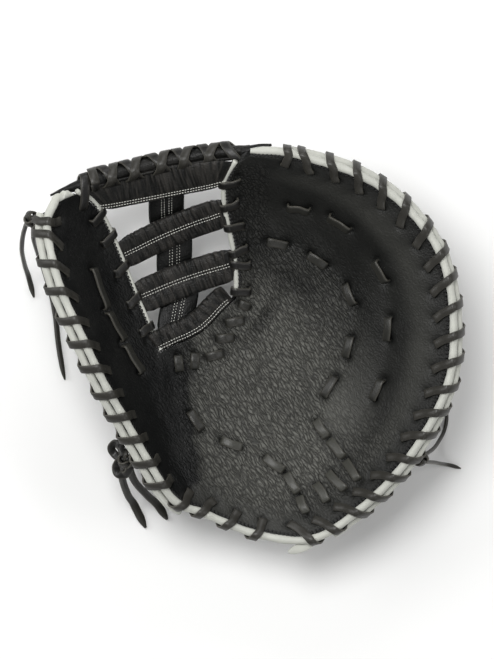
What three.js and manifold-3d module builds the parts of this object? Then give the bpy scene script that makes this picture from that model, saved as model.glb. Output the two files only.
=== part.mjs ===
import * as THREE from 'three';
import { mergeVertices } from 'three/addons/utils/BufferGeometryUtils.js';
import Module from 'manifold-3d';

const wasm = await Module();
wasm.setup();

// A left hand first baseman mitt lying on its back, palm up. Millimetres, +Z up.
// X runs from the thumb side to the finger side, Y from the heel to the web. The
// origin is on the flattened resting patch of the back.

// Overall sizes
const mitt_width = 306;
const mitt_length = 290;
const mitt_height = 126;
const hand_room = 42;
const hand_lean = 2;

// Leather and lace sizes
const pad_thickness = 7;
const edge_thickness = 3;
const back_thickness = 3;
const rim_gap = 3.8;
const web_gap = 5;
const binding_radius = 3.1;
const piping_radius = 2;
const lace_width = 5;
const lace_thickness = 1.7;
const clearance = 0.4;
const lace_lift = 1;
const rim_hole_inset = 11;
const web_hole_inset = 9;
const finger_wraps = 21;
const thumb_wraps = 16;

// Web sizes
const bar_thickness = 6.5;
const bar_end_thickness = 3;
const post_width = 26;
const post_thickness = 4;
const roll_radius = 6.5;
const roll_gap = 0.6;
const roll_end_gap = 4.6;
const roll_rise = 8;
const top_lace_width = 7;
const strap_thickness = 3.5;

// Sections from the web edge or crotch, where they start, to the rim, where they end.
// They run from the finger tip corner, round the heel, to the thumb tip. x is a share
// of mitt_width, y of mitt_length, z of mitt_height, hollow of hand_room.
const section_columns = ['in_x', 'in_y', 'in_z', 'out_x', 'out_y', 'out_z', 'z25', 'z50', 'z75', 'z90', 'hollow'];
const section_table = [
  [-0.040, 0.552, 0.802, -0.012, 0.573, 0.857, 0.817, 0.833, 0.849, 0.857, 0.02],
  [-0.064, 0.507, 0.698, 0.066, 0.568, 0.881, 0.722, 0.778, 0.841, 0.873, 0.06],
  [-0.064, 0.452, 0.595, 0.149, 0.545, 0.889, 0.595, 0.683, 0.802, 0.865, 0.16],
  [-0.052, 0.388, 0.500, 0.230, 0.517, 0.889, 0.476, 0.571, 0.746, 0.849, 0.29],
  [-0.040, 0.322, 0.429, 0.308, 0.470, 0.881, 0.397, 0.476, 0.698, 0.833, 0.58],
  [-0.036, 0.252, 0.381, 0.374, 0.405, 0.873, 0.357, 0.421, 0.675, 0.817, 0.80],
  [-0.043, 0.216, 0.357, 0.424, 0.327, 0.865, 0.333, 0.381, 0.643, 0.802, 0.90],
  [-0.064, 0.197, 0.349, 0.450, 0.232, 0.857, 0.325, 0.365, 0.611, 0.786, 0.88],
  [-0.083, 0.177, 0.349, 0.457, 0.125, 0.849, 0.317, 0.349, 0.579, 0.762, 0.90],
  [-0.102, 0.155, 0.349, 0.448, 0.022, 0.825, 0.317, 0.341, 0.540, 0.730, 0.94],
  [-0.123, 0.135, 0.357, 0.410, -0.080, 0.778, 0.317, 0.333, 0.484, 0.675, 1.00],
  [-0.145, 0.121, 0.365, 0.341, -0.195, 0.698, 0.317, 0.333, 0.429, 0.587, 1.00],
  [-0.166, 0.110, 0.373, 0.251, -0.295, 0.595, 0.325, 0.341, 0.397, 0.500, 1.00],
  [-0.183, 0.103, 0.381, 0.137, -0.375, 0.508, 0.333, 0.349, 0.389, 0.444, 1.00],
  [-0.199, 0.095, 0.389, 0.009, -0.365, 0.476, 0.341, 0.357, 0.389, 0.437, 1.00],
  [-0.215, 0.087, 0.397, -0.118, -0.312, 0.508, 0.365, 0.389, 0.429, 0.468, 1.22],
  [-0.229, 0.080, 0.405, -0.187, -0.280, 0.579, 0.413, 0.437, 0.484, 0.540, 1.28],
  [-0.242, 0.107, 0.405, -0.244, -0.188, 0.683, 0.437, 0.476, 0.556, 0.627, 1.28],
  [-0.263, 0.163, 0.421, -0.303, -0.075, 0.786, 0.460, 0.524, 0.635, 0.722, 1.26],
  [-0.287, 0.222, 0.444, -0.353, 0.020, 0.873, 0.484, 0.571, 0.706, 0.802, 1.00],
  [-0.310, 0.285, 0.484, -0.400, 0.128, 0.937, 0.524, 0.627, 0.770, 0.865, 0.70],
  [-0.334, 0.347, 0.540, -0.445, 0.235, 0.968, 0.579, 0.683, 0.817, 0.905, 0.46],
  [-0.358, 0.405, 0.619, -0.471, 0.333, 0.976, 0.659, 0.746, 0.849, 0.921, 0.27],
  [-0.384, 0.450, 0.714, -0.479, 0.407, 0.952, 0.746, 0.802, 0.873, 0.913, 0.12],
  [-0.422, 0.475, 0.825, -0.460, 0.455, 0.913, 0.841, 0.865, 0.889, 0.905, 0.02],
];
const height_shares = [0, 0.25, 0.5, 0.75, 0.9, 1];
const last_section = section_table.length - 1;

// Where the finger back and the thumb back start and end, in sections
const finger_back_start = 0.8;
const finger_back_end = 12.7;
const thumb_back_start = 15.6;
const thumb_back_end = 23.2;

// The web bars: the section at the thumb and at the finger edge, and the sag, bow and
// width as shares of mitt_height, mitt_length and mitt_length. The bottom bar follows
// the crotch between its two sections.
const bar_columns = ['name', 'thumb', 'finger', 'sag', 'bow', 'width', 'post'];
const bar_table = [
  ['web_top_bar', 23.1, 0.66, 0.095, 0.0, 0.072, 0.54],
  ['web_bar_upper', 20.55, 2.3, 0.07, 0.010, 0.084, 0.48],
  ['web_bar_lower', 18.85, 4.25, 0.05, 0.007, 0.088, 0.42],
  ['web_bar_bottom', 15.7, 6.4, 0.0, 0.0, 0.055, 0.36],
];

// Lace stitches on the palm: the plan positions of each stitch's two ends, as shares of
// mitt_width and mitt_length.
const stitch_columns = ['x1', 'y1', 'x2', 'y2'];
const surface_laces = {
  finger_pad_outer_stitch_1: [[0.078, 0.448, 0.130, 0.438]],
  finger_pad_outer_stitch_2: [[0.178, 0.422, 0.225, 0.388]],
  finger_pad_outer_stitch_3: [[0.287, 0.310, 0.313, 0.258]],
  finger_pad_outer_stitch_4: [[0.320, 0.170, 0.317, 0.112]],
  finger_pad_outer_stitch_5: [[0.303, 0.012, 0.282, -0.038]],
  finger_pad_inner_stitch_1: [[0.031, 0.362, 0.078, 0.352]],
  finger_pad_inner_stitch_2: [[0.130, 0.328, 0.171, 0.300]],
  finger_pad_inner_stitch_3: [[0.216, 0.252, 0.239, 0.202]],
  finger_pad_inner_stitch_4: [[0.230, 0.120, 0.218, 0.068]],
  finger_pad_inner_stitch_5: [[0.192, 0.018, 0.166, -0.030]],
  thumb_pad_lace: [
    [-0.386, 0.290, -0.353, 0.192],
    [-0.350, 0.180, -0.314, 0.112],
    [-0.311, 0.098, -0.272, 0.030],
  ],
  thumb_base_stitch: [[-0.156, -0.070, -0.128, -0.115]],
  crotch_stitch_1: [[-0.037, 0.205, -0.014, 0.196]],
  crotch_stitch_2: [[-0.069, 0.155, -0.028, 0.162]],
  crotch_stitch_3: [[-0.092, 0.115, -0.052, 0.118]],
  crotch_stitch_4: [[-0.116, 0.068, -0.078, 0.078]],
  crotch_stitch_5: [[-0.145, 0.078, -0.145, 0.040]],
  crotch_stitch_6: [[-0.185, 0.072, -0.182, 0.034]],
  palm_stitch: [[-0.081, -0.143, -0.033, -0.160]],
  heel_lace_long: [
    [0.147, -0.093, 0.171, -0.133],
    [0.179, -0.143, 0.211, -0.183],
    [0.218, -0.193, 0.249, -0.240],
  ],
  heel_lace_middle: [
    [0.024, -0.185, 0.068, -0.218],
    [0.075, -0.228, 0.102, -0.274],
    [0.107, -0.285, 0.122, -0.325],
  ],
  heel_lace_side: [[0.178, -0.223, 0.214, -0.265]],
  heel_lace_short: [[0.147, -0.253, 0.174, -0.295]],
};

// The sections where the web edges are laced, clear of the bars' ends
const web_finger_stations = [1.4, 3.3, 5.1];
const web_thumb_stations = [17.5, 19.75, 21.45, 22.5];

// The piping of the two web edges ends at the crotch's corners
const finger_piping_end = 5.8;
const thumb_piping_start = 16.2;

// The two ends of the top roll, as shares of mitt_width, mitt_length and mitt_height
const roll_ends = { thumb: [-0.457, 0.497, 0.722], finger: [-0.033, 0.588, 0.700] };

// The flat free end of the binding at the heel, as the same shares
const binding_end_points = [[0.126, -0.408, 0.492], [0.101, -0.413, 0.484], [0.080, -0.420, 0.476]];
const binding_end_width = 4.4;
const binding_end_thickness = 1.6;

// Free lace tails: points from the knot to the loose end, lying on the surface at the end
const tail_diameter = 3.4;
const tail_points = {
  thumb_tip_tail: [
    [-160.1, 119.6, 100.6], [-160.8, 115, 90], [-161.5, 106, 70], [-160, 98, 48], [-157, 88, 24], [-154, 77, 8],
    [-151, 66, 2.3], [-148, 50, 2.3], [-146, 31, 2.3], [-143, 12, 2.3], [-141, 3, 2.3],
  ],
  thumb_tip_tail_short: [
    [-163.8, 120.4, 100.6], [-166, 117, 90], [-169.5, 108, 68], [-171, 98, 46], [-170, 88, 22], [-168, 80, 6],
    [-166, 72, 2.3], [-164, 64, 2.3],
  ],
  thumb_heel_tail_outer: [
    [-95.3, -54.7, 62.9], [-97.2, -59.8, 52.5], [-97.5, -70, 36], [-94, -82, 16], [-90, -89, 4.5], [-86, -97, 2.3],
    [-81, -107, 2.3],
  ],
  thumb_heel_tail_inner: [
    [-91.7, -55.6, 62.9], [-91.8, -61.8, 52.5], [-88, -72, 38], [-80, -82, 18], [-74, -88, 6], [-70, -93, 2.3],
    [-65, -101, 2.3],
  ],
  little_finger_tail_upper: [
    [121.4, -52.3, 72], [125.5, -50.5, 62], [131.5, -47, 42], [136.5, -41.5, 18], [140, -36, 4.5], [142, -29, 2.3],
    [143, -19, 2.3],
  ],
  little_finger_tail_lower: [
    [121.4, -56.1, 72], [126, -56.6, 62], [132, -57.5, 42], [138, -59, 20], [142.5, -60, 5.5], [147, -61, 2.3],
    [153, -63, 2.3],
  ],
};
const knot_columns = ['name', 'x', 'y', 'z', 'length', 'width', 'height', 'turn'];
const knot_table = [
  ['thumb_tip_knot', -161.9, 120, 106, 12, 10, 10, 80],
  ['thumb_heel_knot', -93.4, -54.3, 68.8, 15, 11, 11, 60],
  ['little_finger_knot', 120.3, -54.2, 77, 12, 9, 9, 20],
];

// Looks
const leather = { color: 0x1d1e1d, roughness: 0.55, metalness: 0 };
const palm_leather = { color: 0x3a3b39, roughness: 0.6, metalness: 0 };
const binding_leather = { color: 0xc2c3bb, roughness: 0.55, metalness: 0 };
const lace_leather = { color: 0x2b2927, roughness: 0.5, metalness: 0 };

// Tables as named rows
function named(columns, row) {
  return Object.fromEntries(columns.map((column, i) => [column, row[i]]));
}

const sections = section_table.map((row) => named(section_columns, row));

function catmull(a, b, c, d, t) {
  const bend = (2 * a - 5 * b + 4 * c - d) * t * t + (3 * b - a - 3 * c + d) * t * t * t;
  return 0.5 * (2 * b + (c - a) * t + bend);
}

// One column's value at any place between the sections
function columnAt(column, u) {
  const i = Math.min(Math.max(Math.floor(u), 0), last_section - 1);
  const value = (k) => {
    if (k < 0) return 2 * sections[0][column] - sections[1][column];
    if (k > last_section) return 2 * sections[last_section][column] - sections[last_section - 1][column];
    return sections[k][column];
  };
  return catmull(value(i - 1), value(i), value(i + 1), value(i + 2), u - i);
}

// A smooth curve through heights that never overshoots them
function smoothHeight(shares, heights, v) {
  const n = shares.length;
  let i = 0;
  while (i < n - 2 && v > shares[i + 1]) i += 1;
  const rise = (k) => (heights[k + 1] - heights[k]) / (shares[k + 1] - shares[k]);
  const slope = (k) => {
    if (k === 0) return rise(0);
    if (k === n - 1) return rise(n - 2);
    const before = rise(k - 1);
    const after = rise(k);
    return before * after <= 0 ? 0 : (2 * before * after) / (before + after);
  };
  const span = shares[i + 1] - shares[i];
  const t = (v - shares[i]) / span;
  const keep = 2 * t ** 3 - 3 * t ** 2 + 1;
  const start = t ** 3 - 2 * t ** 2 + t;
  const end = t ** 3 - t ** 2;
  return keep * heights[i] + (1 - keep) * heights[i + 1] + span * (start * slope(i) + end * slope(i + 1));
}

// A point of the palm's face: u counts sections, v runs from the web edge to the rim
function palmPoint(u, v) {
  const at = (column) => columnAt(column, u);
  const heights = ['in_z', 'z25', 'z50', 'z75', 'z90', 'out_z'].map(at);
  return new THREE.Vector3(
    mitt_width * (at('in_x') + (at('out_x') - at('in_x')) * v),
    mitt_length * (at('in_y') + (at('out_y') - at('in_y')) * v),
    mitt_height * smoothHeight(height_shares, heights, v),
  );
}

function alongRim(u, v) {
  const step = 0.02;
  const low = Math.max(u - step, 0);
  const high = Math.min(u + step, last_section);
  return palmPoint(high, v).sub(palmPoint(low, v)).normalize();
}

function acrossPalm(u, v) {
  const step = 0.01;
  const low = Math.max(v - step, 0);
  const high = Math.min(v + step, 1);
  return palmPoint(u, high).sub(palmPoint(u, low)).normalize();
}

function palmNormal(u, v) {
  const normal = new THREE.Vector3().crossVectors(acrossPalm(u, v), alongRim(u, v)).normalize();
  return normal.z < 0 ? normal.negate() : normal;
}

function ease(t) {
  const s = Math.min(Math.max(t, 0), 1);
  return s * s * (3 - 2 * s);
}

function padAt(v) {
  return edge_thickness + (pad_thickness - edge_thickness) * ease(v / 0.14) * ease((1 - v) / 0.14);
}

function gapAt(v) {
  return web_gap + (rim_gap - web_gap) * ease(v / 0.8);
}

// The hand's room lies under the palm, straighter down than the palm's own direction
function roomAt(u, v) {
  const room = hand_room * Math.max(columnAt('hollow', u), 0) * ease(v / 0.42) * ease((0.97 - v) / 0.5);
  return palmNormal(u, v).addScaledVector(new THREE.Vector3(0, 0, 1), hand_lean).normalize().multiplyScalar(room);
}

// Surfaces under the palm's face, and under the hand, kept above the resting surface
function under(u, v, depth) {
  return palmPoint(u, v).addScaledVector(palmNormal(u, v), -depth);
}

function underHand(u, v, depth, lowest) {
  const p = under(u, v, padAt(v) + gapAt(v) + depth).sub(roomAt(u, v));
  p.z = Math.max(p.z, lowest);
  return p;
}

const palmFace = (u, v) => palmPoint(u, v);
const palmInside = (u, v) => under(u, v, padAt(v));
const backInside = (u, v) => underHand(u, v, 0, back_thickness);
const backFace = (u, v) => underHand(u, v, back_thickness, 0);

// A face as its flat facets have it, between its grid's points
function facetFace(us, vs, face) {
  const cell = (list, value) => {
    let i = 0;
    while (i < list.length - 2 && value > list[i + 1]) i += 1;
    return [i, (value - list[i]) / (list[i + 1] - list[i])];
  };
  return (u, v) => {
    const [i, s] = cell(us, u);
    const [j, t] = cell(vs, v);
    const near = face(us[i], vs[j]).lerp(face(us[i], vs[j + 1]), t);
    const far = face(us[i + 1], vs[j]).lerp(face(us[i + 1], vs[j + 1]), t);
    return near.lerp(far, s);
  };
}

const steps = (from, to, count) => Array.from({ length: count + 1 }, (_, i) => from + ((to - from) * i) / count);
const palm_stations = steps(0, last_section, 42);
const finger_stations = steps(finger_back_start, finger_back_end, 20);
const thumb_stations = steps(thumb_back_start, thumb_back_end, 14);
const palm_shares = [0, 0.1, 0.22, 0.36, 0.5, 0.63, 0.75, 0.86, 1];
const back_shares = [0, 0.12, 0.26, 0.4, 0.54, 0.72, 0.86, 1];
const palmFacet = facetFace(palm_stations, palm_shares, palmFace);
const palmInsideFacet = facetFace(palm_stations, palm_shares, palmInside);
const fingerFacet = facetFace(finger_stations, back_shares, backFace);
const thumbFacet = facetFace(thumb_stations, back_shares, backFace);

function hasBack(u) {
  return u <= finger_back_end || u >= thumb_back_start;
}

// Closed geometry from rings of points, capped at both ends or closed on itself
function geometryFrom(points, faces) {
  const geometry = new THREE.BufferGeometry();
  geometry.setAttribute('position', new THREE.Float32BufferAttribute(points.flatMap((p) => [p.x, p.y, p.z]), 3));
  let volume = 0;
  for (const [a, b, c] of faces) {
    volume += points[a].dot(new THREE.Vector3().crossVectors(points[b], points[c]));
  }
  geometry.setIndex(faces.flatMap(([a, b, c]) => (volume < 0 ? [a, c, b] : [a, b, c])));
  return geometry;
}

function ringSolid(rings, closed = false) {
  const n = rings[0].length;
  const points = rings.flat();
  const faces = [];
  const last = closed ? rings.length : rings.length - 1;
  for (let i = 0; i < last; i += 1) {
    const next = (i + 1) % rings.length;
    for (let j = 0; j < n; j += 1) {
      const k = (j + 1) % n;
      faces.push([i * n + j, i * n + k, next * n + k], [i * n + j, next * n + k, next * n + j]);
    }
  }
  if (!closed) {
    for (let j = 1; j < n - 1; j += 1) {
      faces.push([0, j + 1, j]);
      const first = (rings.length - 1) * n;
      faces.push([first, first + j, first + j + 1]);
    }
  }
  return geometryFrom(points, faces);
}

// A sheet of leather between two faces over a grid of sections and shares
function sheetSolid(us, vs, face, inside) {
  const rings = us.map((u) => [...vs.map((v) => face(u, v)), ...[...vs].reverse().map((v) => inside(u, v))]);
  const n = rings[0].length;
  const points = rings.flat();
  const faces = [];
  for (let i = 0; i < rings.length - 1; i += 1) {
    for (let j = 0; j < n; j += 1) {
      const k = (j + 1) % n;
      faces.push([i * n + j, i * n + k, (i + 1) * n + k], [i * n + j, (i + 1) * n + k, (i + 1) * n + j]);
    }
  }
  const end = (rings.length - 1) * n;
  for (let j = 0; j < vs.length - 1; j += 1) {
    const a = n - 1 - j;
    const b = n - 2 - j;
    faces.push([j, b, j + 1], [j, a, b]);
    faces.push([end + j, end + j + 1, end + b], [end + j, end + b, end + a]);
  }
  return geometryFrom(points, faces);
}

// A flat strip along points, its width turned by hints
function tangents(points, closed) {
  const n = points.length;
  return points.map((p, i) => {
    const before = closed ? points[(i + n - 1) % n] : points[Math.max(i - 1, 0)];
    const after = closed ? points[(i + 1) % n] : points[Math.min(i + 1, n - 1)];
    const back = p.clone().sub(before).normalize();
    const on = after.clone().sub(p).normalize();
    return back.add(on).normalize();
  });
}

function stripFrames(path, closed = false) {
  const along = tangents(path.map((k) => k.at), closed);
  return path.map((k, i) => {
    const side = k.side.clone().addScaledVector(along[i], -k.side.dot(along[i])).normalize();
    return { at: k.at, side, up: new THREE.Vector3().crossVectors(along[i], side) };
  });
}

function stripSolid(path, width, thickness, closed = false) {
  const corners = [[1, 1], [-1, 1], [-1, -1], [1, -1]];
  const rings = stripFrames(path, closed).map((f) => corners.map(([a, b]) => f.at.clone()
    .addScaledVector(f.side, (a * width) / 2).addScaledVector(f.up, (b * thickness) / 2)));
  return ringSolid(rings, closed);
}

function roundSolid(frames, sides, closed = false) {
  const rings = frames.map((f) => Array.from({ length: sides }, (_, i) => {
    const turn = (2 * Math.PI * (i + 0.5)) / sides;
    return f.at.clone().addScaledVector(f.side, f.width * Math.cos(turn)).addScaledVector(f.up, f.height * Math.sin(turn));
  }));
  return ringSolid(rings, closed);
}

// Cutting with solids
function solidOf(geometry) {
  const bare = geometry.clone();
  bare.deleteAttribute('normal');
  bare.deleteAttribute('uv');
  const merged = mergeVertices(bare, 1e-4);
  return new wasm.Manifold(new wasm.Mesh({
    numProp: 3,
    vertProperties: merged.attributes.position.array,
    triVerts: new Uint32Array(merged.index.array),
  }));
}

function boxBetween(a, b, side, width, thickness, past) {
  const along = b.clone().sub(a);
  const length = along.length() + 2 * past;
  along.normalize();
  const wide = side.clone().addScaledVector(along, -side.dot(along)).normalize();
  const up = new THREE.Vector3().crossVectors(along, wide);
  const box = new THREE.BoxGeometry(length, width, thickness);
  const place = new THREE.Matrix4().makeBasis(along, wide, up);
  place.setPosition(a.clone().add(b).multiplyScalar(0.5));
  return box.applyMatrix4(place);
}

function cutAway(geometry, cutters, fineness = 0.12) {
  let solid = solidOf(geometry);
  geometry.computeBoundingBox();
  for (const cutter of cutters) {
    cutter.computeBoundingBox();
    if (cutter.boundingBox.intersectsBox(geometry.boundingBox)) solid = solid.subtract(solidOf(cutter));
  }
  const bodies = solid.decompose().sort((a, b) => b.volume() - a.volume());
  const mesh = bodies[0].simplify(fineness).getMesh();
  const cut = new THREE.BufferGeometry();
  cut.setAttribute('position', new THREE.Float32BufferAttribute(mesh.vertProperties, 3));
  cut.setIndex([...mesh.triVerts]);
  return cut;
}

// The rim and the web edge: the outward direction and the places round them
function edgeFrame(u, v, outward) {
  const along = alongRim(u, v);
  const up = palmNormal(u, v);
  const out = new THREE.Vector3().crossVectors(along, up).normalize();
  if (out.dot(outward) < 0) out.negate();
  return { edge: palmPoint(u, v), out, up, along };
}

const rimFrame = (u) => edgeFrame(u, 1, acrossPalm(u, 1));
const webFrame = (u) => edgeFrame(u, 0, acrossPalm(u, 0).negate());

const frameAt = { rim: rimFrame, web: webFrame };
const edgeShare = { rim: (share) => 1 - share, web: (share) => share };

function edgePlace(kind, u, out, up) {
  const f = frameAt[kind](u);
  return f.edge.clone().addScaledVector(f.out, out).addScaledVector(f.up, up);
}

// The share of a section that lies this far in from the edge
function insetShare(kind, u, inset) {
  let share = 0;
  let gone = 0;
  let before = palmPoint(u, edgeShare[kind](0));
  while (gone < inset && share < 0.45) {
    share += 0.01;
    const p = palmPoint(u, edgeShare[kind](share));
    gone += p.distanceTo(before);
    before = p;
  }
  return edgeShare[kind](share);
}

function edgeStations(kind, from, to, count) {
  const steps = 600;
  const us = Array.from({ length: steps + 1 }, (_, i) => from + ((to - from) * i) / steps);
  const gone = [0];
  for (let i = 1; i <= steps; i += 1) {
    gone.push(gone[i - 1] + frameAt[kind](us[i]).edge.distanceTo(frameAt[kind](us[i - 1]).edge));
  }
  const find = (length) => {
    const i = Math.min(Math.max(gone.findIndex((g) => g >= length), 1), steps);
    return us[i - 1] + ((us[i] - us[i - 1]) * (length - gone[i - 1])) / (gone[i] - gone[i - 1]);
  };
  return Array.from({ length: count }, (_, i) => find((gone[steps] * i) / (count - 1)));
}

const palm_roll = { out: binding_radius + clearance, up: -edge_thickness / 2 };
const back_roll = { out: palm_roll.out, up: palm_roll.up - edge_thickness / 2 - rim_gap - back_thickness / 2 };
const piping = { out: piping_radius + clearance, up: -edge_thickness / 2 };
const lace_room = lace_thickness / 2 + lace_lift;
const two_layers = edge_thickness + rim_gap + back_thickness;

// One turn of whip lacing: through a hole, over the edge, and back to the next hole
function edgeWrap(kind, hole, next, slant) {
  const rim = kind === 'rim';
  const inset = rim ? rim_hole_inset : web_hole_inset;
  const radius = rim ? binding_radius : piping_radius;
  const roll = rim ? palm_roll : piping;
  const reach = roll.out + radius + lace_room;
  const outer = hole + (next - hole) * slant;
  const mix = (a, b, t) => a + (b - a) * t;
  const top = roll.up + radius + lace_room;
  const lowest = (u) => (rim && hasBack(u) ? back_roll.up : roll.up) - radius - lace_room - clearance;
  const chain = [
    [hole, (u) => holeEnd(kind, u, inset, true)],
    [mix(hole, outer, 0.6), (u) => edgePlace(kind, u, roll.out * 0.6, top + 0.3)],
    [mix(hole, outer, 0.9), (u) => edgePlace(kind, u, mix(roll.out, reach, 0.85), mix(roll.up, top, 0.7))],
    [outer, (u) => edgePlace(kind, u, reach, mix(roll.up, lowest(u) + radius + lace_room, 0.5))],
    [mix(outer, next, 0.15), (u) => edgePlace(kind, u, mix(roll.out, reach, 0.7), mix(lowest(u), roll.up, 0.1))],
    [mix(outer, next, 0.45), (u) => edgePlace(kind, u, roll.out * 0.3, lowest(u))],
    ...(rim ? [] : [[mix(outer, next, 0.75), (u) => edgePlace(kind, u, roll.out * 0.3, lowest(u))]]),
    [next, (u) => holeEnd(kind, u, inset, false)],
  ];
  return chain.map(([u, place]) => ({ at: place(u), side: frameAt[kind](u).along }));
}

// Just above a lace hole on the palm's face, or just below it under every layer there
function holeEnd(kind, u, inset, above) {
  const v = insetShare(kind, u, inset);
  const normal = palmNormal(u, v);
  if (above) return palmFacet(u, v).addScaledVector(normal, lace_room);
  if (kind === 'web' || !hasBack(u)) return palmInsideFacet(u, v).addScaledVector(normal, -lace_room - clearance);
  return (u <= finger_back_end ? fingerFacet : thumbFacet)(u, v).addScaledVector(normal, -lace_room - 3 * clearance);
}

// The whole whip lace along one stretch of edge, and the slots it passes through
function edgeLace(kind, stations, slant) {
  const inset = kind === 'rim' ? rim_hole_inset : web_hole_inset;
  const count = stations.length;
  const end = (u, above) => ({ at: holeEnd(kind, u, inset, above), side: frameAt[kind](u).along });
  const turns = stations.slice(0, -1).map((u, i) => edgeWrap(kind, u, stations[i + 1], slant));
  const path = [end(stations[0], false), ...turns.flat(), end(stations[count - 1], true)];
  const slots = stations.map((u) => [end(u, true), end(u, false)]);
  return { path, slots };
}

const slot_width = lace_width + 4 * clearance;
const slot_thickness = lace_thickness + 4 * clearance;
const slotBox = ([a, b]) => boxBetween(a.at, b.at, a.side, slot_width, slot_thickness, 1);
const laceBoxes = (path) => path.slice(1).map((k, i) => boxBetween(path[i].at, k.at, k.side, slot_width, slot_thickness, lace_thickness));

const finger_edge_lace = edgeLace('rim', edgeStations('rim', 13.3, 1.4, finger_wraps), 0.6);
const thumb_edge_lace = edgeLace('rim', edgeStations('rim', 13.8, 22.9, thumb_wraps), 0.6);
const web_finger_lace = edgeLace('web', web_finger_stations, 0.3);
const web_thumb_lace = edgeLace('web', web_thumb_stations, 0.3);

// The palm point over a plan position
function palmUnder(x, y) {
  let best = { u: 0, v: 0, off: Infinity };
  for (let u = 0; u <= last_section; u += 0.5) {
    for (let v = 0; v <= 1; v += 0.05) {
      const p = palmPoint(u, v);
      const off = Math.hypot(p.x - x, p.y - y);
      if (off < best.off) best = { u, v, off };
    }
  }
  let reach = [0.25, 0.025];
  for (let k = 0; k < 14; k += 1) {
    const centre = { ...best };
    for (const du of [-1, 0, 1]) {
      for (const dv of [-1, 0, 1]) {
        const u = Math.min(Math.max(centre.u + du * reach[0], 0), last_section);
        const v = Math.min(Math.max(centre.v + dv * reach[1], 0), 1);
        const p = palmPoint(u, v);
        const off = Math.hypot(p.x - x, p.y - y);
        if (off < best.off) best = { u, v, off };
      }
    }
    reach = reach.map((r) => r * 0.62);
  }
  return best;
}

// A lace that lies on the leather along a row of stitches that nearly meet
function overPalm(x, y, height) {
  const { u, v } = palmUnder(x * mitt_width, y * mitt_length);
  return { at: palmFacet(u, v).addScaledVector(palmNormal(u, v), height), up: palmNormal(u, v) };
}

function surfaceLace(rows) {
  const lift = lace_thickness / 2 + clearance;
  const spots = rows.map((row) => named(stitch_columns, row)).flatMap((s) => [
    overPalm(s.x1, s.y1, lift),
    overPalm((s.x1 + s.x2) / 2, (s.y1 + s.y2) / 2, lift + clearance),
    overPalm(s.x2, s.y2, lift),
  ]);
  const along = tangents(spots.map((k) => k.at), false);
  return spots.map((k, i) => ({ at: k.at, side: new THREE.Vector3().crossVectors(k.up, along[i]) }));
}

// Web bars between the two web edges
function barPath(bar) {
  const start_out = piping.out + piping_radius + 4 * clearance;
  const depth = piping.up;
  const a = edgePlace('web', bar.thumb, start_out, depth);
  const b = edgePlace('web', bar.finger, start_out, depth);
  const shares = [0, 0.05, 0.12, 0.22, 0.36, 0.5, 0.64, 0.78, 0.88, 0.95, 1];
  return shares.map((t) => {
    const bulge = 4 * t * (1 - t);
    const at = a.clone().lerp(b, t);
    at.y += bar.bow * mitt_length * bulge;
    at.z -= bar.sag * mitt_height * bulge;
    return { at, t };
  });
}

// The bottom bar lies along the crotch, edge to edge with the palm
function crotchPath(bar) {
  return steps(0, 1, 10).map((t) => {
    const u = bar.thumb + (bar.finger - bar.thumb) * t;
    return { at: edgePlace('web', u, clearance + (bar.width * mitt_length) / 2, piping.up), t, u };
  });
}

const bars = bar_table.map((row) => named(bar_columns, row));
const bottom = bars.length - 1;
bars.forEach((bar, i) => { bar.path = i === bottom ? crotchPath(bar) : barPath(bar); });

// The web climbs from the crotch to the top bar, and each bar faces square to that
function barFrames(bar, i) {
  const higher = bars[Math.max(i - 1, 0)].path;
  const lower = bars[Math.min(i + 1, bars.length - 1)].path;
  const along = tangents(bar.path.map((k) => k.at), false);
  return bar.path.map((k, j) => {
    const climb = i === bottom ? webFrame(k.u).out : higher[j].at.clone().sub(lower[j].at);
    const side = climb.addScaledVector(along[j], -climb.dot(along[j])).normalize();
    const up = new THREE.Vector3().crossVectors(along[j], side);
    if (up.z < 0) up.negate();
    const full = ease(Math.min(k.t, 1 - k.t) / 0.16);
    const thickness = bar_end_thickness + (bar_thickness - bar_end_thickness) * full;
    return { at: k.at, side, up, width: (bar.width * mitt_length) / 2, height: thickness / 2 };
  });
}

bars.forEach((bar, i) => { bar.frames = barFrames(bar, i); });

// The rings of a bar, its two ends cut square to the web edges that they meet
function barRings(bar) {
  const shape = [[0.8, 1], [-0.8, 1], [-1, 0], [-0.8, -1], [0.8, -1], [1, 0]];
  const along = tangents(bar.path.map((k) => k.at), false);
  const last = bar.frames.length - 1;
  const walls = bar.path[0].u ? {} : { 0: webFrame(bar.thumb), [last]: webFrame(bar.finger) };
  return bar.frames.map((f, i) => shape.map(([a, b]) => {
    const p = f.at.clone().addScaledVector(f.side, a * f.width).addScaledVector(f.up, b * f.height);
    const wall = walls[i];
    if (wall) {
      const off = p.clone().sub(f.at).dot(wall.out);
      p.addScaledVector(along[i], -off / along[i].dot(wall.out));
      p.addScaledVector(wall.out, edgeBow(bar, i ? 'finger' : 'thumb', a * f.width));
    }
    return p;
  }));
}

// How far the web edge bulges toward a bar's end, this far from its middle
function edgeBow(bar, end, offset) {
  const wall = webFrame(bar[end]);
  const speed = palmPoint(bar[end] + 0.1, 0).distanceTo(palmPoint(bar[end] - 0.1, 0)) / 0.2;
  const reach = Math.abs(offset) / speed;
  const bulges = [-reach, reach].map((du) => {
    const u = Math.min(Math.max(bar[end] + du, 0), last_section);
    return palmPoint(u, 0).sub(wall.edge).dot(wall.out);
  });
  return Math.max(0, ...bulges);
}

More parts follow.
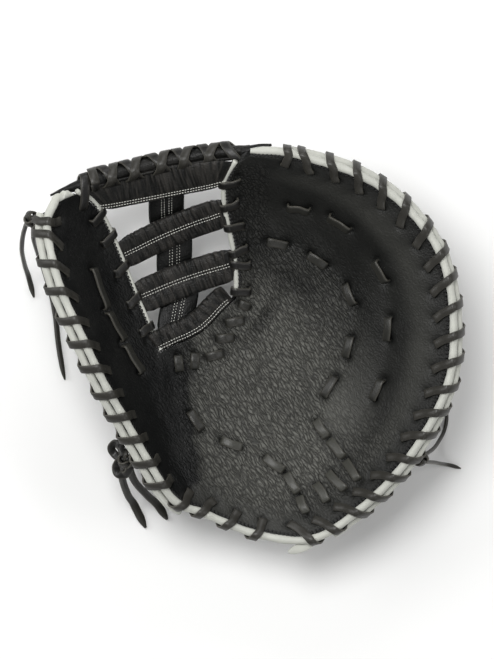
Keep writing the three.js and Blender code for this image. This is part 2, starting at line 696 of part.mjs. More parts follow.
// The post hangs under the bars' middles, from under the top bar to under the bottom one
function postPath() {
  const drop = bar_thickness / 2 + post_thickness / 2 + 4 * clearance;
  return bars.flatMap((bar) => {
    const along = tangents(bar.path.map((k) => k.at), false);
    const i = bar.path.findIndex((k) => k.t > bar.post);
    const t = (bar.post - bar.path[i - 1].t) / (bar.path[i].t - bar.path[i - 1].t);
    const mix = (key) => bar.frames[i - 1][key].clone().lerp(bar.frames[i][key], t);
    return [0.55, -0.55].map((share) => ({
      at: mix('at').addScaledVector(mix('up'), -drop).addScaledVector(mix('side'), share * bar.frames[i].width),
      side: along[i - 1].clone().lerp(along[i], t).normalize(),
    }));
  });
}

// The rolled leather on the top bar, and the lace that spirals round it
const top_frames = bars[0].frames;
const inner_roll_frames = top_frames.slice(1, -1).map((f, i) => {
  const t = bars[0].path[i + 1].t;
  const raised = ease(Math.min(t, 1 - t) / 0.25);
  const gap = roll_end_gap + (roll_gap - roll_end_gap) * raised;
  const at = f.at.clone().addScaledVector(f.side, f.width + gap + roll_radius).addScaledVector(f.up, roll_rise * raised);
  return { ...f, at, width: roll_radius, height: roll_radius };
});
const inMitt = ([x, y, z]) => new THREE.Vector3(x * mitt_width, y * mitt_length, z * mitt_height);
const roll_frames = [
  { ...inner_roll_frames[0], at: inMitt(roll_ends.thumb) },
  ...inner_roll_frames,
  { ...inner_roll_frames[inner_roll_frames.length - 1], at: inMitt(roll_ends.finger) },
];

function spiralPath(frames, turns, radius) {
  const steps = turns * 6;
  return Array.from({ length: steps + 1 }, (_, i) => {
    const place = 0.6 + ((frames.length - 2.2) * i) / steps;
    const k = Math.floor(place);
    const t = place - k;
    const a = frames[k];
    const b = frames[k + 1];
    const mix = (key) => a[key].clone().lerp(b[key], t);
    const turn = (2 * Math.PI * i) / 6;
    const at = mix('at').addScaledVector(mix('side'), radius * Math.cos(turn)).addScaledVector(mix('up'), radius * Math.sin(turn));
    return { at, side: b.at.clone().sub(a.at).normalize() };
  });
}

const top_lace = spiralPath(inner_roll_frames, 7, (roll_radius + lace_room) / Math.cos(Math.PI / 6));

// A band of lace tied round the roll, this share of the way between two of its frames
function tiePath(from, to, share) {
  const radius = (roll_radius + clearance + lace_thickness / 2) / Math.cos(Math.PI / 8);
  const at = from.at.clone().lerp(to.at, share);
  const along = to.at.clone().sub(from.at).normalize();
  const side = from.side.clone().addScaledVector(along, -from.side.dot(along)).normalize();
  const up = new THREE.Vector3().crossVectors(along, side);
  return Array.from({ length: 8 }, (_, i) => {
    const turn = (Math.PI * i) / 4;
    return {
      at: at.clone().addScaledVector(side, radius * Math.cos(turn)).addScaledVector(up, radius * Math.sin(turn)),
      side: along,
    };
  });
}

// Tails: an eight sided section along the chosen points
function tailGeometry(points) {
  const outline = Array.from({ length: 8 }, (_, i) => {
    const turn = ((i + 0.5) * Math.PI) / 4;
    return new THREE.Vector2(Math.cos(turn), Math.sin(turn)).multiplyScalar(tail_diameter / 2);
  });
  const shape = new THREE.Shape(outline);
  const curve = new THREE.CatmullRomCurve3(points.map((p) => new THREE.Vector3(...p)));
  const steps = Math.max(Math.round(curve.getLength() / (3 * tail_diameter)), 5);
  return new THREE.ExtrudeGeometry(shape, { steps, extrudePath: curve, curveSegments: 1 });
}

function knotGeometry(k) {
  const ball = new THREE.SphereGeometry(0.5, 8, 6);
  ball.scale(k.length, k.width, k.height);
  ball.rotateZ(THREE.MathUtils.degToRad(k.turn));
  return ball;
}

// The scene graph
const mitt = new THREE.Group();

function add(name, geometry, look, place) {
  const mesh = new THREE.Mesh(geometry, new THREE.MeshStandardMaterial(look));
  mesh.name = name;
  if (place) mesh.position.set(...place);
  mitt.add(mesh);
  return mesh;
}

const all_slots = [
  ...finger_edge_lace.slots,
  ...thumb_edge_lace.slots,
  ...web_finger_lace.slots,
  ...web_thumb_lace.slots,
].map(slotBox);
const rim_slots = [...finger_edge_lace.slots, ...thumb_edge_lace.slots].map(slotBox);

const palm_sheet = sheetSolid(palm_stations, palm_shares, palmFace, palmInside);
add('palm_shell', cutAway(palm_sheet, all_slots), palm_leather);
const finger_sheet = sheetSolid(finger_stations, back_shares, backInside, backFace);
add('finger_back_shell', cutAway(finger_sheet, rim_slots), leather);
const thumb_sheet = sheetSolid(thumb_stations, back_shares, backInside, backFace);
add('thumb_back_shell', cutAway(thumb_sheet, rim_slots), leather);

// The wrist strap bridges the open back between the two back shells, just inside them
const strap_shares = [back_shares[4], back_shares[5]];
const strap_stations = [
  finger_stations[finger_stations.length - 2],
  ...steps(finger_back_end, thumb_back_start, 6),
  thumb_stations[1],
];
const strap_lowest = back_thickness + clearance;
const strapFace = (u, v) => underHand(u, v, -clearance - strap_thickness, strap_lowest + strap_thickness);
const strapUnder = (u, v) => underHand(u, v, -clearance, strap_lowest);
add('wrist_strap', sheetSolid(strap_stations, strap_shares, strapUnder, strapFace), leather);

// Bindings
function edgeRoll(kind, from, to, count, roll, radius) {
  return steps(from, to, count).map((u) => {
    const f = frameAt[kind](u);
    return { at: edgePlace(kind, u, roll.out, roll.up), side: f.out, up: f.up, width: radius, height: radius };
  });
}

// The palm's binding turns the corner of the thumb tip and goes on across it
function tipRoll() {
  const rim = rimFrame(last_section);
  const corner = rim.out.clone().add(rim.along).normalize();
  const shares = [0.93, 0.7, 0.45, 0.2];
  const across = shares.map((v) => ({ edge: palmPoint(last_section, v), side: alongRim(last_section, v), up: palmNormal(last_section, v) }));
  return [{ edge: rim.edge, side: corner, up: rim.up, reach: 1.15 }, ...across].map((f) => ({
    at: f.edge.clone().addScaledVector(f.side, palm_roll.out * (f.reach || 1)).addScaledVector(f.up, palm_roll.up),
    side: f.side,
    up: f.up,
    width: binding_radius,
    height: binding_radius,
  }));
}

const palm_roll_frames = [...edgeRoll('rim', 0, last_section, 44, palm_roll, binding_radius), ...tipRoll()];
add('palm_binding', roundSolid(palm_roll_frames, 6), binding_leather);
add('finger_back_binding', roundSolid(edgeRoll('rim', finger_back_start + 0.2, finger_back_end, 22, back_roll, binding_radius), 6), binding_leather);
add('thumb_back_binding', roundSolid(edgeRoll('rim', thumb_back_start, thumb_back_end, 15, back_roll, binding_radius), 6), binding_leather);
const finger_piping = (radius) => roundSolid(edgeRoll('web', 0, finger_piping_end, 11, piping, radius), 6);
const thumb_piping = (radius) => roundSolid(edgeRoll('web', thumb_piping_start, last_section, 13, piping, radius), 6);
add('web_finger_binding', finger_piping(piping_radius), binding_leather);
add('web_thumb_binding', thumb_piping(piping_radius), binding_leather);
const binding_end = binding_end_points.map((p) => ({ at: inMitt(p), side: new THREE.Vector3(0, 1, 0) }));
add('binding_end', stripSolid(binding_end, binding_end_width, binding_end_thickness), binding_leather);

// Web
const web_boxes = [...laceBoxes(web_finger_lace.path), ...laceBoxes(web_thumb_lace.path)];
const web_walls = [finger_piping(piping_radius + clearance), thumb_piping(piping_radius + clearance), ...web_boxes];
bars.forEach((bar, i) => add(bar.name, cutAway(ringSolid(barRings(bar)), i === bottom ? web_walls : web_boxes), leather));
add('web_post', cutAway(stripSolid(postPath(), post_width, post_thickness), web_boxes), leather);
add('web_top_roll', roundSolid(roll_frames, 8), leather);
add('web_top_lace', stripSolid(top_lace, top_lace_width, lace_thickness), lace_leather);
const last_roll = roll_frames.length - 1;
const thumb_tie = tiePath(roll_frames[0], roll_frames[1], 0.3);
const finger_tie = tiePath(roll_frames[last_roll], roll_frames[last_roll - 1], 0.3);
add('thumb_top_tie', stripSolid(thumb_tie, top_lace_width, lace_thickness, true), lace_leather);
add('finger_top_tie', stripSolid(finger_tie, top_lace_width, lace_thickness, true), lace_leather);

// Laces
add('finger_edge_lace', stripSolid(finger_edge_lace.path, lace_width, lace_thickness), lace_leather);
add('thumb_edge_lace', stripSolid(thumb_edge_lace.path, lace_width, lace_thickness), lace_leather);
add('web_finger_lace', stripSolid(web_finger_lace.path, lace_width, lace_thickness), lace_leather);
add('web_thumb_lace', stripSolid(web_thumb_lace.path, lace_width, lace_thickness), lace_leather);
for (const [name, rows] of Object.entries(surface_laces)) {
  add(name, stripSolid(surfaceLace(rows), lace_width, lace_thickness), lace_leather);
}
for (const row of knot_table) {
  const k = named(knot_columns, row);
  add(k.name, knotGeometry(k), lace_leather, [k.x, k.y, k.z]);
}
for (const [name, points] of Object.entries(tail_points)) add(name, tailGeometry(points), lace_leather);

export default mitt;
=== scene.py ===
# A left hand first baseman mitt lying on its back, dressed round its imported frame.
# Millimetres are used for every size below, and turned to metres as a mesh is made.
import math
import bpy
import numpy as np
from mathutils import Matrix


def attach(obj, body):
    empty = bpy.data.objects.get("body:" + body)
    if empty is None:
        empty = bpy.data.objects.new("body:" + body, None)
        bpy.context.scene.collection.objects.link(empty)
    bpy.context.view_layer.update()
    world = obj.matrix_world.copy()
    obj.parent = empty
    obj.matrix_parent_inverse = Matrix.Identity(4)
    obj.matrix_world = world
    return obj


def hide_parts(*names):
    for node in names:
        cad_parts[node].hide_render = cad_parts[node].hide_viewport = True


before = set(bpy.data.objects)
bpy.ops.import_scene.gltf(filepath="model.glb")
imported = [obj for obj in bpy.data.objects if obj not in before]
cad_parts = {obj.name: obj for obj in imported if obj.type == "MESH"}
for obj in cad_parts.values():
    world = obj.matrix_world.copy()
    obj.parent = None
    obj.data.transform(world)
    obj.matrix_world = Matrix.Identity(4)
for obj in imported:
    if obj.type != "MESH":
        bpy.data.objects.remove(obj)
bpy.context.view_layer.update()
MM = 0.001

# Camera. It looks straight down from far above, as the picture was taken, so that the
# rim near it and the heel below it show at one scale.
PHOTO_WIDTH, PHOTO_HEIGHT = 494, 659
MM_PER_PIXEL = 0.725
ORIGIN_PIXEL = (255, 385)
SHARP_HEIGHT = 95
CAMERA_HEIGHT = 4000

camera_data = bpy.data.cameras.new("camera")
camera = bpy.data.objects.new("camera", camera_data)
bpy.context.scene.collection.objects.link(camera)
bpy.context.scene.camera = camera
camera_data.sensor_width = 36
camera_data.lens = camera_data.sensor_width * (CAMERA_HEIGHT - SHARP_HEIGHT) / (PHOTO_HEIGHT * MM_PER_PIXEL)
camera_data.clip_start, camera_data.clip_end = 0.1, 60
camera.location = (
    (PHOTO_WIDTH / 2 - ORIGIN_PIXEL[0]) * MM_PER_PIXEL * MM,
    (ORIGIN_PIXEL[1] - PHOTO_HEIGHT / 2) * MM_PER_PIXEL * MM,
    CAMERA_HEIGHT * MM,
)


# Floor and light. A matt white studio sheet, lit all round by large soft boxes, so that
# black leather shows its grain and almost no shadow falls.
def linear(colour):
    """The linear value of an sRGB hex colour."""
    parts = [int(colour[i:i + 2], 16) / 255 for i in (1, 3, 5)]
    return tuple(p / 12.92 if p <= 0.04045 else ((p + 0.055) / 1.055) ** 2.4 for p in parts) + (1.0,)


def node(tree, kind, settings=(), inputs=(), links=()):
    """Adds a node, sets its properties and sockets, and links other nodes' sockets to it."""
    made = tree.nodes.new("ShaderNode" + kind)
    for key, value in dict(settings).items():
        setattr(made, key, value)
    for key, value in dict(inputs).items():
        made.inputs[key].default_value = value
    for key, socket in dict(links).items():
        tree.links.new(socket, made.inputs[key])
    return made


def new_material(name):
    material = bpy.data.materials.new(name)
    material.use_nodes = True
    material.node_tree.nodes.clear()
    return material


def close_material(tree, shader):
    node(tree, "OutputMaterial", links={"Surface": shader.outputs["BSDF"]})


FLOOR_SIZE = 60
bpy.context.scene.view_settings.view_transform = "Standard"

bpy.ops.object.select_all(action="DESELECT")
bpy.ops.mesh.primitive_plane_add(size=FLOOR_SIZE)
floor = bpy.context.object
floor.name = "floor"
paper = new_material("matt_white_paper")
close_material(paper.node_tree, node(paper.node_tree, "BsdfPrincipled", inputs={
    "Base Color": linear("#f6f6f5"), "Roughness": 0.95, "Specular IOR Level": 0.1}))
floor.data.materials.append(paper)


def soft_box(name, place, aim, size, watts):
    data = bpy.data.lights.new(name, "AREA")
    data.shape, data.size, data.energy = "DISK", size, watts
    light = bpy.data.objects.new(name, data)
    bpy.context.scene.collection.objects.link(light)
    light.location = place
    direction = np.subtract(aim, place)
    turn = math.atan2(direction[1], direction[0]) - math.pi / 2
    tilt = math.acos(-direction[2] / np.linalg.norm(direction))
    light.rotation_euler = (tilt, 0, turn)


soft_box("top_box", (-0.35, 0.55, 1.9), (0, 0, 0), 0.9, 25)
soft_box("left_box", (-1.7, 0.5, 1.1), (0, 0, 0), 1.0, 12)
soft_box("upper_box", (0.2, 2.0, 1.2), (0, 0, 0), 1.0, 11)
soft_box("right_box", (1.7, 0.1, 1.5), (0, 0, 0), 0.8, 8)
soft_box("heel_box", (0.5, -1.7, 1.6), (0, 0, 0), 0.8, 6)
world = bpy.data.worlds.new("studio")
bpy.context.scene.world = world
world.use_nodes = True
world.node_tree.nodes["Background"].inputs["Color"].default_value = (1, 1, 1, 1)
world.node_tree.nodes["Background"].inputs["Strength"].default_value = 0.26

# Lace tails. The free ends of the waxed leather laces hang from their knots and lie on
# the surface. They are flat strips, and each is cut to a point at its end.
TAIL_THICKNESS = 1.6
TAIL_POINT_FROM = 0.86
TAIL_FACE = {"thumb_tip": 4.0, "thumb_heel": 6.4, "little_finger": 2.8}
TAIL_POINTS = {
    "thumb_tip_tail": [
        (-160.1, 119.6, 100.6), (-160.8, 115, 90), (-161.5, 106, 70), (-160, 98, 48), (-157, 88, 24), (-154, 77, 8),
        (-151, 66, 2.3), (-148, 50, 2.3), (-146, 31, 2.3), (-143, 12, 2.3), (-141, 3, 2.3)],
    "thumb_tip_tail_short": [
        (-163.8, 120.4, 100.6), (-166, 117, 90), (-169.5, 108, 68), (-171, 98, 46), (-170, 88, 22), (-168, 80, 6),
        (-166, 72, 2.3), (-164, 64, 2.3)],
    "thumb_heel_tail_outer": [
        (-95.3, -54.7, 62.9), (-97.2, -59.8, 52.5), (-97.5, -70, 36), (-94, -82, 16), (-90, -89, 4.5), (-86, -97, 2.3),
        (-81, -107, 2.3)],
    "thumb_heel_tail_inner": [
        (-91.7, -55.6, 62.9), (-91.8, -61.8, 52.5), (-88, -72, 38), (-80, -82, 18), (-74, -88, 6), (-70, -93, 2.3),
        (-65, -101, 2.3)],
    "little_finger_tail_upper": [
        (121.4, -52.3, 72), (125.5, -50.5, 62), (131.5, -47, 42), (136.5, -41.5, 18), (140, -36, 4.5),
        (142, -29, 2.3), (143, -19, 2.3)],
    "little_finger_tail_lower": [
        (121.4, -56.1, 72), (126, -56.6, 62), (132, -57.5, 42), (138, -59, 20), (142.5, -60, 5.5),
        (147, -61, 2.3), (153, -63, 2.3)],
}


def unit(vectors):
    return vectors / np.maximum(np.linalg.norm(vectors, axis=-1, keepdims=True), 1e-9)


def smooth_path(points, cuts):
    """A Catmull-Rom curve through points, cut this many times between each two."""
    p = np.asarray(points, float)
    p = np.vstack([2 * p[0] - p[1], p, 2 * p[-1] - p[-2]])
    t = np.linspace(0, 1, cuts, endpoint=False)[:, None]
    curve = []
    for a, b, c, d in zip(p[:-3], p[1:-2], p[2:-1], p[3:]):
        curve.append(0.5 * (2 * b + (c - a) * t + (2 * a - 5 * b + 4 * c - d) * t ** 2
                            + (3 * b - a - 3 * c + d) * t ** 3))
    return np.vstack(curve + [p[-2][None]])


def run_along(line):
    """How far along a line each of its points is."""
    return np.concatenate([[0], np.cumsum(np.linalg.norm(np.diff(line, axis=0), axis=1))])


def ring_faces(rings, size, closed=False):
    """Quads between rings of points, with each end capped unless the row of rings is closed."""
    i = np.arange(rings if closed else rings - 1)[:, None] * size
    following = (i + size) % (rings * size)
    j = np.arange(size)[None]
    k = (j + 1) % size
    quads = np.stack([i + j, i + k, following + k, following + j], -1).reshape(-1, 4).tolist()
    if not closed:
        quads += [list(range(size))[::-1], list(range((rings - 1) * size, rings * size))]
    return quads


SAMPLED_FACES = 4000


def new_piece(name, points, faces, material, slot_name, replaced=(), **attributes):
    """A mesh object in the shared frame, riding on the mitt and standing for its nodes."""
    points = np.asarray(points)
    mesh = bpy.data.meshes.new(name)
    mesh.from_pydata((points * MM).tolist(), [], faces)
    mesh.polygons.foreach_set("use_smooth", [True] * len(mesh.polygons))
    for key, values in attributes.items():
        spread = np.zeros(len(points)) + np.ravel(values)
        mesh.attributes.new(key, "FLOAT", "POINT").data.foreach_set("value", spread.astype(np.float32))
    mesh.update()
    # A negative volume, summed over a sample of the faces, means that they face inwards
    sample = faces[:: max(len(faces) // SAMPLED_FACES, 1)]
    if sum(np.dot(points[f[0]], np.cross(points[f[1]], points[f[2]])) for f in sample) < 0:
        mesh.flip_normals()
    mesh.materials.append(material)
    piece = bpy.data.objects.new(name, mesh)
    bpy.context.scene.collection.objects.link(piece)
    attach(piece, "root")
    if replaced:
        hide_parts(*replaced)
    return piece


def ribbon(points, sides, width, thickness, closed=False):
    """A flat lace with rounded cut edges: its mesh, and how near each point is to an edge."""
    outline = np.array([
        (1.0, 0.45), (0.9, 0.95), (0.4, 1.08), (-0.4, 1.08), (-0.9, 0.95),
        (-1.0, 0.45), (-1.0, -0.45), (-0.9, -0.95), (0.9, -0.95), (1.0, -0.45)])
    edge = np.array([1, 0.35, 0, 0, 0.35, 1, 1, 0.35, 0.35, 1])
    p = np.asarray(points, float)
    along = unit(np.roll(p, -1, 0) - np.roll(p, 1, 0)) if closed else unit(np.gradient(p, axis=0))
    side = unit(sides - np.sum(sides * along, -1, keepdims=True) * along)
    up = np.cross(along, side)
    wide = outline[None, :, :1] * side[:, None] * np.broadcast_to(width, len(p))[:, None, None] / 2
    thick = outline[None, :, 1:] * up[:, None] * thickness / 2
    rings = p[:, None] + wide + thick
    return rings.reshape(-1, 3), ring_faces(len(p), len(outline), closed), np.tile(edge, len(p))


def joined(meshes):
    """Several (points, faces, value) meshes as one."""
    points, faces, values, count = [], [], [], 0
    for p, f, e in meshes:
        points.append(p)
        faces += [[k + count for k in face] for face in f]
        values.append(e)
        count += len(p)
    return np.vstack(points), faces, np.concatenate(values)


# Waxed latigo: dense oily lace leather with a soft gloss on its face and paler cut edges
LACE_COLOUR = "#090908"
LACE_STREAK_HIGHLIGHT_COLOUR = "#141311"
LACE_EDGE_COLOUR = "#4b4943"
LACE_RUBBED_COLOUR = "#3e3e39"
LACE_GRAIN, LACE_STREAK = 1.1, 6

waxed_latigo = new_material("waxed_latigo")
tree = waxed_latigo.node_tree
place = node(tree, "TexCoord").outputs["Object"]
streaks = node(tree, "TexNoise", inputs={"Scale": 1 / (LACE_STREAK * MM), "Detail": 4},
               links={"Vector": place})
grain = node(tree, "TexNoise", inputs={"Scale": 1 / (LACE_GRAIN * MM), "Detail": 3},
             links={"Vector": place})
# Painted highlight: random streaks of a paler tone stand for the gloss on the lace's face
tone = node(tree, "Mix", {"data_type": "RGBA"}, {6: linear(LACE_COLOUR), 7: linear(LACE_STREAK_HIGHLIGHT_COLOUR)},
            {0: streaks.outputs["Fac"]})
cut_edge = node(tree, "Attribute", {"attribute_name": "edge"})
rubbed = node(tree, "Attribute", {"attribute_name": "rubbed"})
handled = node(tree, "Mix", {"data_type": "RGBA"}, {7: linear(LACE_RUBBED_COLOUR)},
               {0: rubbed.outputs["Fac"], 6: tone.outputs[2]})
face = node(tree, "Mix", {"data_type": "RGBA"}, {7: linear(LACE_EDGE_COLOUR)},
            {0: cut_edge.outputs["Fac"], 6: handled.outputs[2]})
bump = node(tree, "Bump", inputs={"Strength": 0.5, "Distance": 0.25 * MM},
            links={"Height": grain.outputs["Fac"]})
close_material(tree, node(tree, "BsdfPrincipled", inputs={"Roughness": 0.4, "Specular IOR Level": 0.36},
                          links={"Base Color": face.outputs[2], "Normal": bump.outputs["Normal"]}))


def lace(name, ribbons, replaced, **attributes):
    """One piece of waxed lace, made of one or more ribbons."""
    points, faces, edge = joined(ribbons)
    return new_piece(name, points, faces, waxed_latigo, "lace_leather", replaced, edge=edge, **attributes)


for name, points in TAIL_POINTS.items():
    line = smooth_path(points, 8)
    away = unit(np.cross(np.gradient(line, axis=0), (0.35, 0.2, 1.0)))
    turn = np.linspace(0.9, 0, len(line))[:, None]
    hints = unit(away + turn * np.array([0.3, 0.5, 0.0]))
    wide = next(width for place, width in TAIL_FACE.items() if name.startswith(place))
    cut = 1 - 0.8 * np.clip((np.linspace(0, 1, len(line)) - TAIL_POINT_FROM) / 0.14, 0, 1) ** 1.6
    tail = lace(name + "_lace", [ribbon(line, hints, wide * cut, TAIL_THICKNESS)], (name,))
    run = float(np.sum(np.linalg.norm(np.diff(line, axis=0), axis=1))) * MM

# Palm. One padded panel of full grain cowhide, from the finger tip round the heel to the
# thumb tip. Its sections run from the web edge or crotch to the rim, as shares of the
# mitt's sizes, and the face is drawn down wherever a lace passes through it.
MITT_WIDTH, MITT_LENGTH, MITT_HEIGHT = 306, 290, 126
HAND_ROOM, HAND_LEAN = 42, 2
PAD_THICKNESS, EDGE_THICKNESS, BACK_THICKNESS = 7, 3, 3
RIM_GAP, WEB_GAP = 3.8, 5
COLUMNS = ("in_x", "in_y", "in_z", "out_x", "out_y", "out_z", "z25", "z50", "z75", "z90", "hollow")
SECTIONS = np.array([
    (-0.040, 0.552, 0.802, -0.012, 0.573, 0.857, 0.817, 0.833, 0.849, 0.857, 0.02),
    (-0.064, 0.507, 0.698, 0.066, 0.568, 0.881, 0.722, 0.778, 0.841, 0.873, 0.06),
    (-0.064, 0.452, 0.595, 0.149, 0.545, 0.889, 0.595, 0.683, 0.802, 0.865, 0.16),
    (-0.052, 0.388, 0.500, 0.230, 0.517, 0.889, 0.476, 0.571, 0.746, 0.849, 0.29),
    (-0.040, 0.322, 0.429, 0.308, 0.470, 0.881, 0.397, 0.476, 0.698, 0.833, 0.58),
    (-0.036, 0.252, 0.381, 0.374, 0.405, 0.873, 0.357, 0.421, 0.675, 0.817, 0.80),
    (-0.043, 0.216, 0.357, 0.424, 0.327, 0.865, 0.333, 0.381, 0.643, 0.802, 0.90),
    (-0.064, 0.197, 0.349, 0.450, 0.232, 0.857, 0.325, 0.365, 0.611, 0.786, 0.88),
    (-0.083, 0.177, 0.349, 0.457, 0.125, 0.849, 0.317, 0.349, 0.579, 0.762, 0.90),
    (-0.102, 0.155, 0.349, 0.448, 0.022, 0.825, 0.317, 0.341, 0.540, 0.730, 0.94),
    (-0.123, 0.135, 0.357, 0.410, -0.080, 0.778, 0.317, 0.333, 0.484, 0.675, 1.00),
    (-0.145, 0.121, 0.365, 0.341, -0.195, 0.698, 0.317, 0.333, 0.429, 0.587, 1.00),
    (-0.166, 0.110, 0.373, 0.251, -0.295, 0.595, 0.325, 0.341, 0.397, 0.500, 1.00),
    (-0.183, 0.103, 0.381, 0.137, -0.375, 0.508, 0.333, 0.349, 0.389, 0.444, 1.00),
    (-0.199, 0.095, 0.389, 0.009, -0.365, 0.476, 0.341, 0.357, 0.389, 0.437, 1.00),
    (-0.215, 0.087, 0.397, -0.118, -0.312, 0.508, 0.365, 0.389, 0.429, 0.468, 1.22),
    (-0.229, 0.080, 0.405, -0.187, -0.280, 0.579, 0.413, 0.437, 0.484, 0.540, 1.28),
    (-0.242, 0.107, 0.405, -0.244, -0.188, 0.683, 0.437, 0.476, 0.556, 0.627, 1.28),
    (-0.263, 0.163, 0.421, -0.303, -0.075, 0.786, 0.460, 0.524, 0.635, 0.722, 1.26),
    (-0.287, 0.222, 0.444, -0.353, 0.020, 0.873, 0.484, 0.571, 0.706, 0.802, 1.00),
    (-0.310, 0.285, 0.484, -0.400, 0.128, 0.937, 0.524, 0.627, 0.770, 0.865, 0.70),
    (-0.334, 0.347, 0.540, -0.445, 0.235, 0.968, 0.579, 0.683, 0.817, 0.905, 0.46),
    (-0.358, 0.405, 0.619, -0.471, 0.333, 0.976, 0.659, 0.746, 0.849, 0.921, 0.27),
    (-0.384, 0.450, 0.714, -0.479, 0.407, 0.952, 0.746, 0.802, 0.873, 0.913, 0.12),
    (-0.422, 0.475, 0.825, -0.460, 0.455, 0.913, 0.841, 0.865, 0.889, 0.905, 0.02),
])
HEIGHT_SHARES = np.array([0, 0.25, 0.5, 0.75, 0.9, 1])
LAST = len(SECTIONS) - 1


def column_at(name, u):
    column = SECTIONS[:, COLUMNS.index(name)]
    column = np.concatenate([[2 * column[0] - column[1]], column, [2 * column[-1] - column[-2]]])
    i = np.clip(np.floor(u).astype(int), 0, LAST - 1)
    t = u - i
    a, b, c, d = (column[i + k] for k in range(4))
    return 0.5 * (2 * b + (c - a) * t + (2 * a - 5 * b + 4 * c - d) * t ** 2 + (3 * b - a - 3 * c + d) * t ** 3)


def height_at(u, v):
    """The smooth height across a section, which never overshoots its columns."""
    heights = np.stack([column_at(name, u) for name in ("in_z", "z25", "z50", "z75", "z90", "out_z")], -1)
    rise = np.diff(heights, axis=-1) / np.diff(HEIGHT_SHARES)
    before, after = rise[..., :-1], rise[..., 1:]
    turning = before * after <= 0
    inner = np.where(turning, 0, 2 * before * after / np.where(turning, 1, before + after))
    slope = np.concatenate([rise[..., :1], inner, rise[..., -1:]], -1)
    i = np.clip(np.searchsorted(HEIGHT_SHARES, v) - 1, 0, 4)
    span = np.diff(HEIGHT_SHARES)[i]
    t = (v - HEIGHT_SHARES[i]) / span
    pick = lambda values, k: np.take_along_axis(values, k[..., None], -1)[..., 0]
    keep = 2 * t ** 3 - 3 * t ** 2 + 1
    bend = (t ** 3 - 2 * t ** 2 + t) * pick(slope, i) + (t ** 3 - t ** 2) * pick(slope, i + 1)
    return keep * pick(heights, i) + (1 - keep) * pick(heights, i + 1) + span * bend


def palm_point(u, v):
    u, v = np.broadcast_arrays(np.asarray(u, float), np.asarray(v, float))
    x = column_at("in_x", u) * (1 - v) + column_at("out_x", u) * v
    y = column_at("in_y", u) * (1 - v) + column_at("out_y", u) * v
    return np.stack([x * MITT_WIDTH, y * MITT_LENGTH, height_at(u, v) * MITT_HEIGHT], -1)


def along_rim(u, v):
    return unit(palm_point(np.minimum(u + 0.02, LAST), v) - palm_point(np.maximum(u - 0.02, 0), v))


def across_palm(u, v):
    return unit(palm_point(u, np.minimum(v + 0.01, 1)) - palm_point(u, np.maximum(v - 0.01, 0)))


def palm_normal(u, v):
    normal = unit(np.cross(across_palm(u, v), along_rim(u, v)))
    return np.where(normal[..., 2:] < 0, -normal, normal)


def ease(t):
    t = np.clip(t, 0, 1)
    return t * t * (3 - 2 * t)


def pad_at(v):
    return EDGE_THICKNESS + (PAD_THICKNESS - EDGE_THICKNESS) * ease(v / 0.14) * ease((1 - v) / 0.14)


def under_hand(u, v, depth):
    """A place under the palm's padding and under the room for the hand, this much deeper."""
    normal = palm_normal(u, v)
    apart = pad_at(v) + WEB_GAP + (RIM_GAP - WEB_GAP) * ease(v / 0.8) + depth
    room = HAND_ROOM * np.maximum(column_at("hollow", u), 0) * ease(v / 0.42) * ease((0.97 - v) / 0.5)
    return palm_point(u, v) - normal * apart[..., None] - unit(normal + (0, 0, HAND_LEAN)) * room[..., None]


def edge_frame(kind, u):
    """The edge's points and its outward, upward and running directions. kind is rim or web."""
    u = np.asarray(u, float)
    v = np.ones_like(u) if kind == "rim" else np.zeros_like(u)
    along, up = along_rim(u, v), palm_normal(u, v)
    out = unit(np.cross(along, up))
    outward = across_palm(u, v) * (1 if kind == "rim" else -1)
    out = np.where(np.sum(out * outward, -1, keepdims=True) < 0, -out, out)
    return palm_point(u, v), out, up, along


def edge_place(kind, u, out, up):
    edge, outward, upward, _ = edge_frame(kind, u)
    return edge + outward * np.asarray(out)[..., None] + upward * np.asarray(up)[..., None]


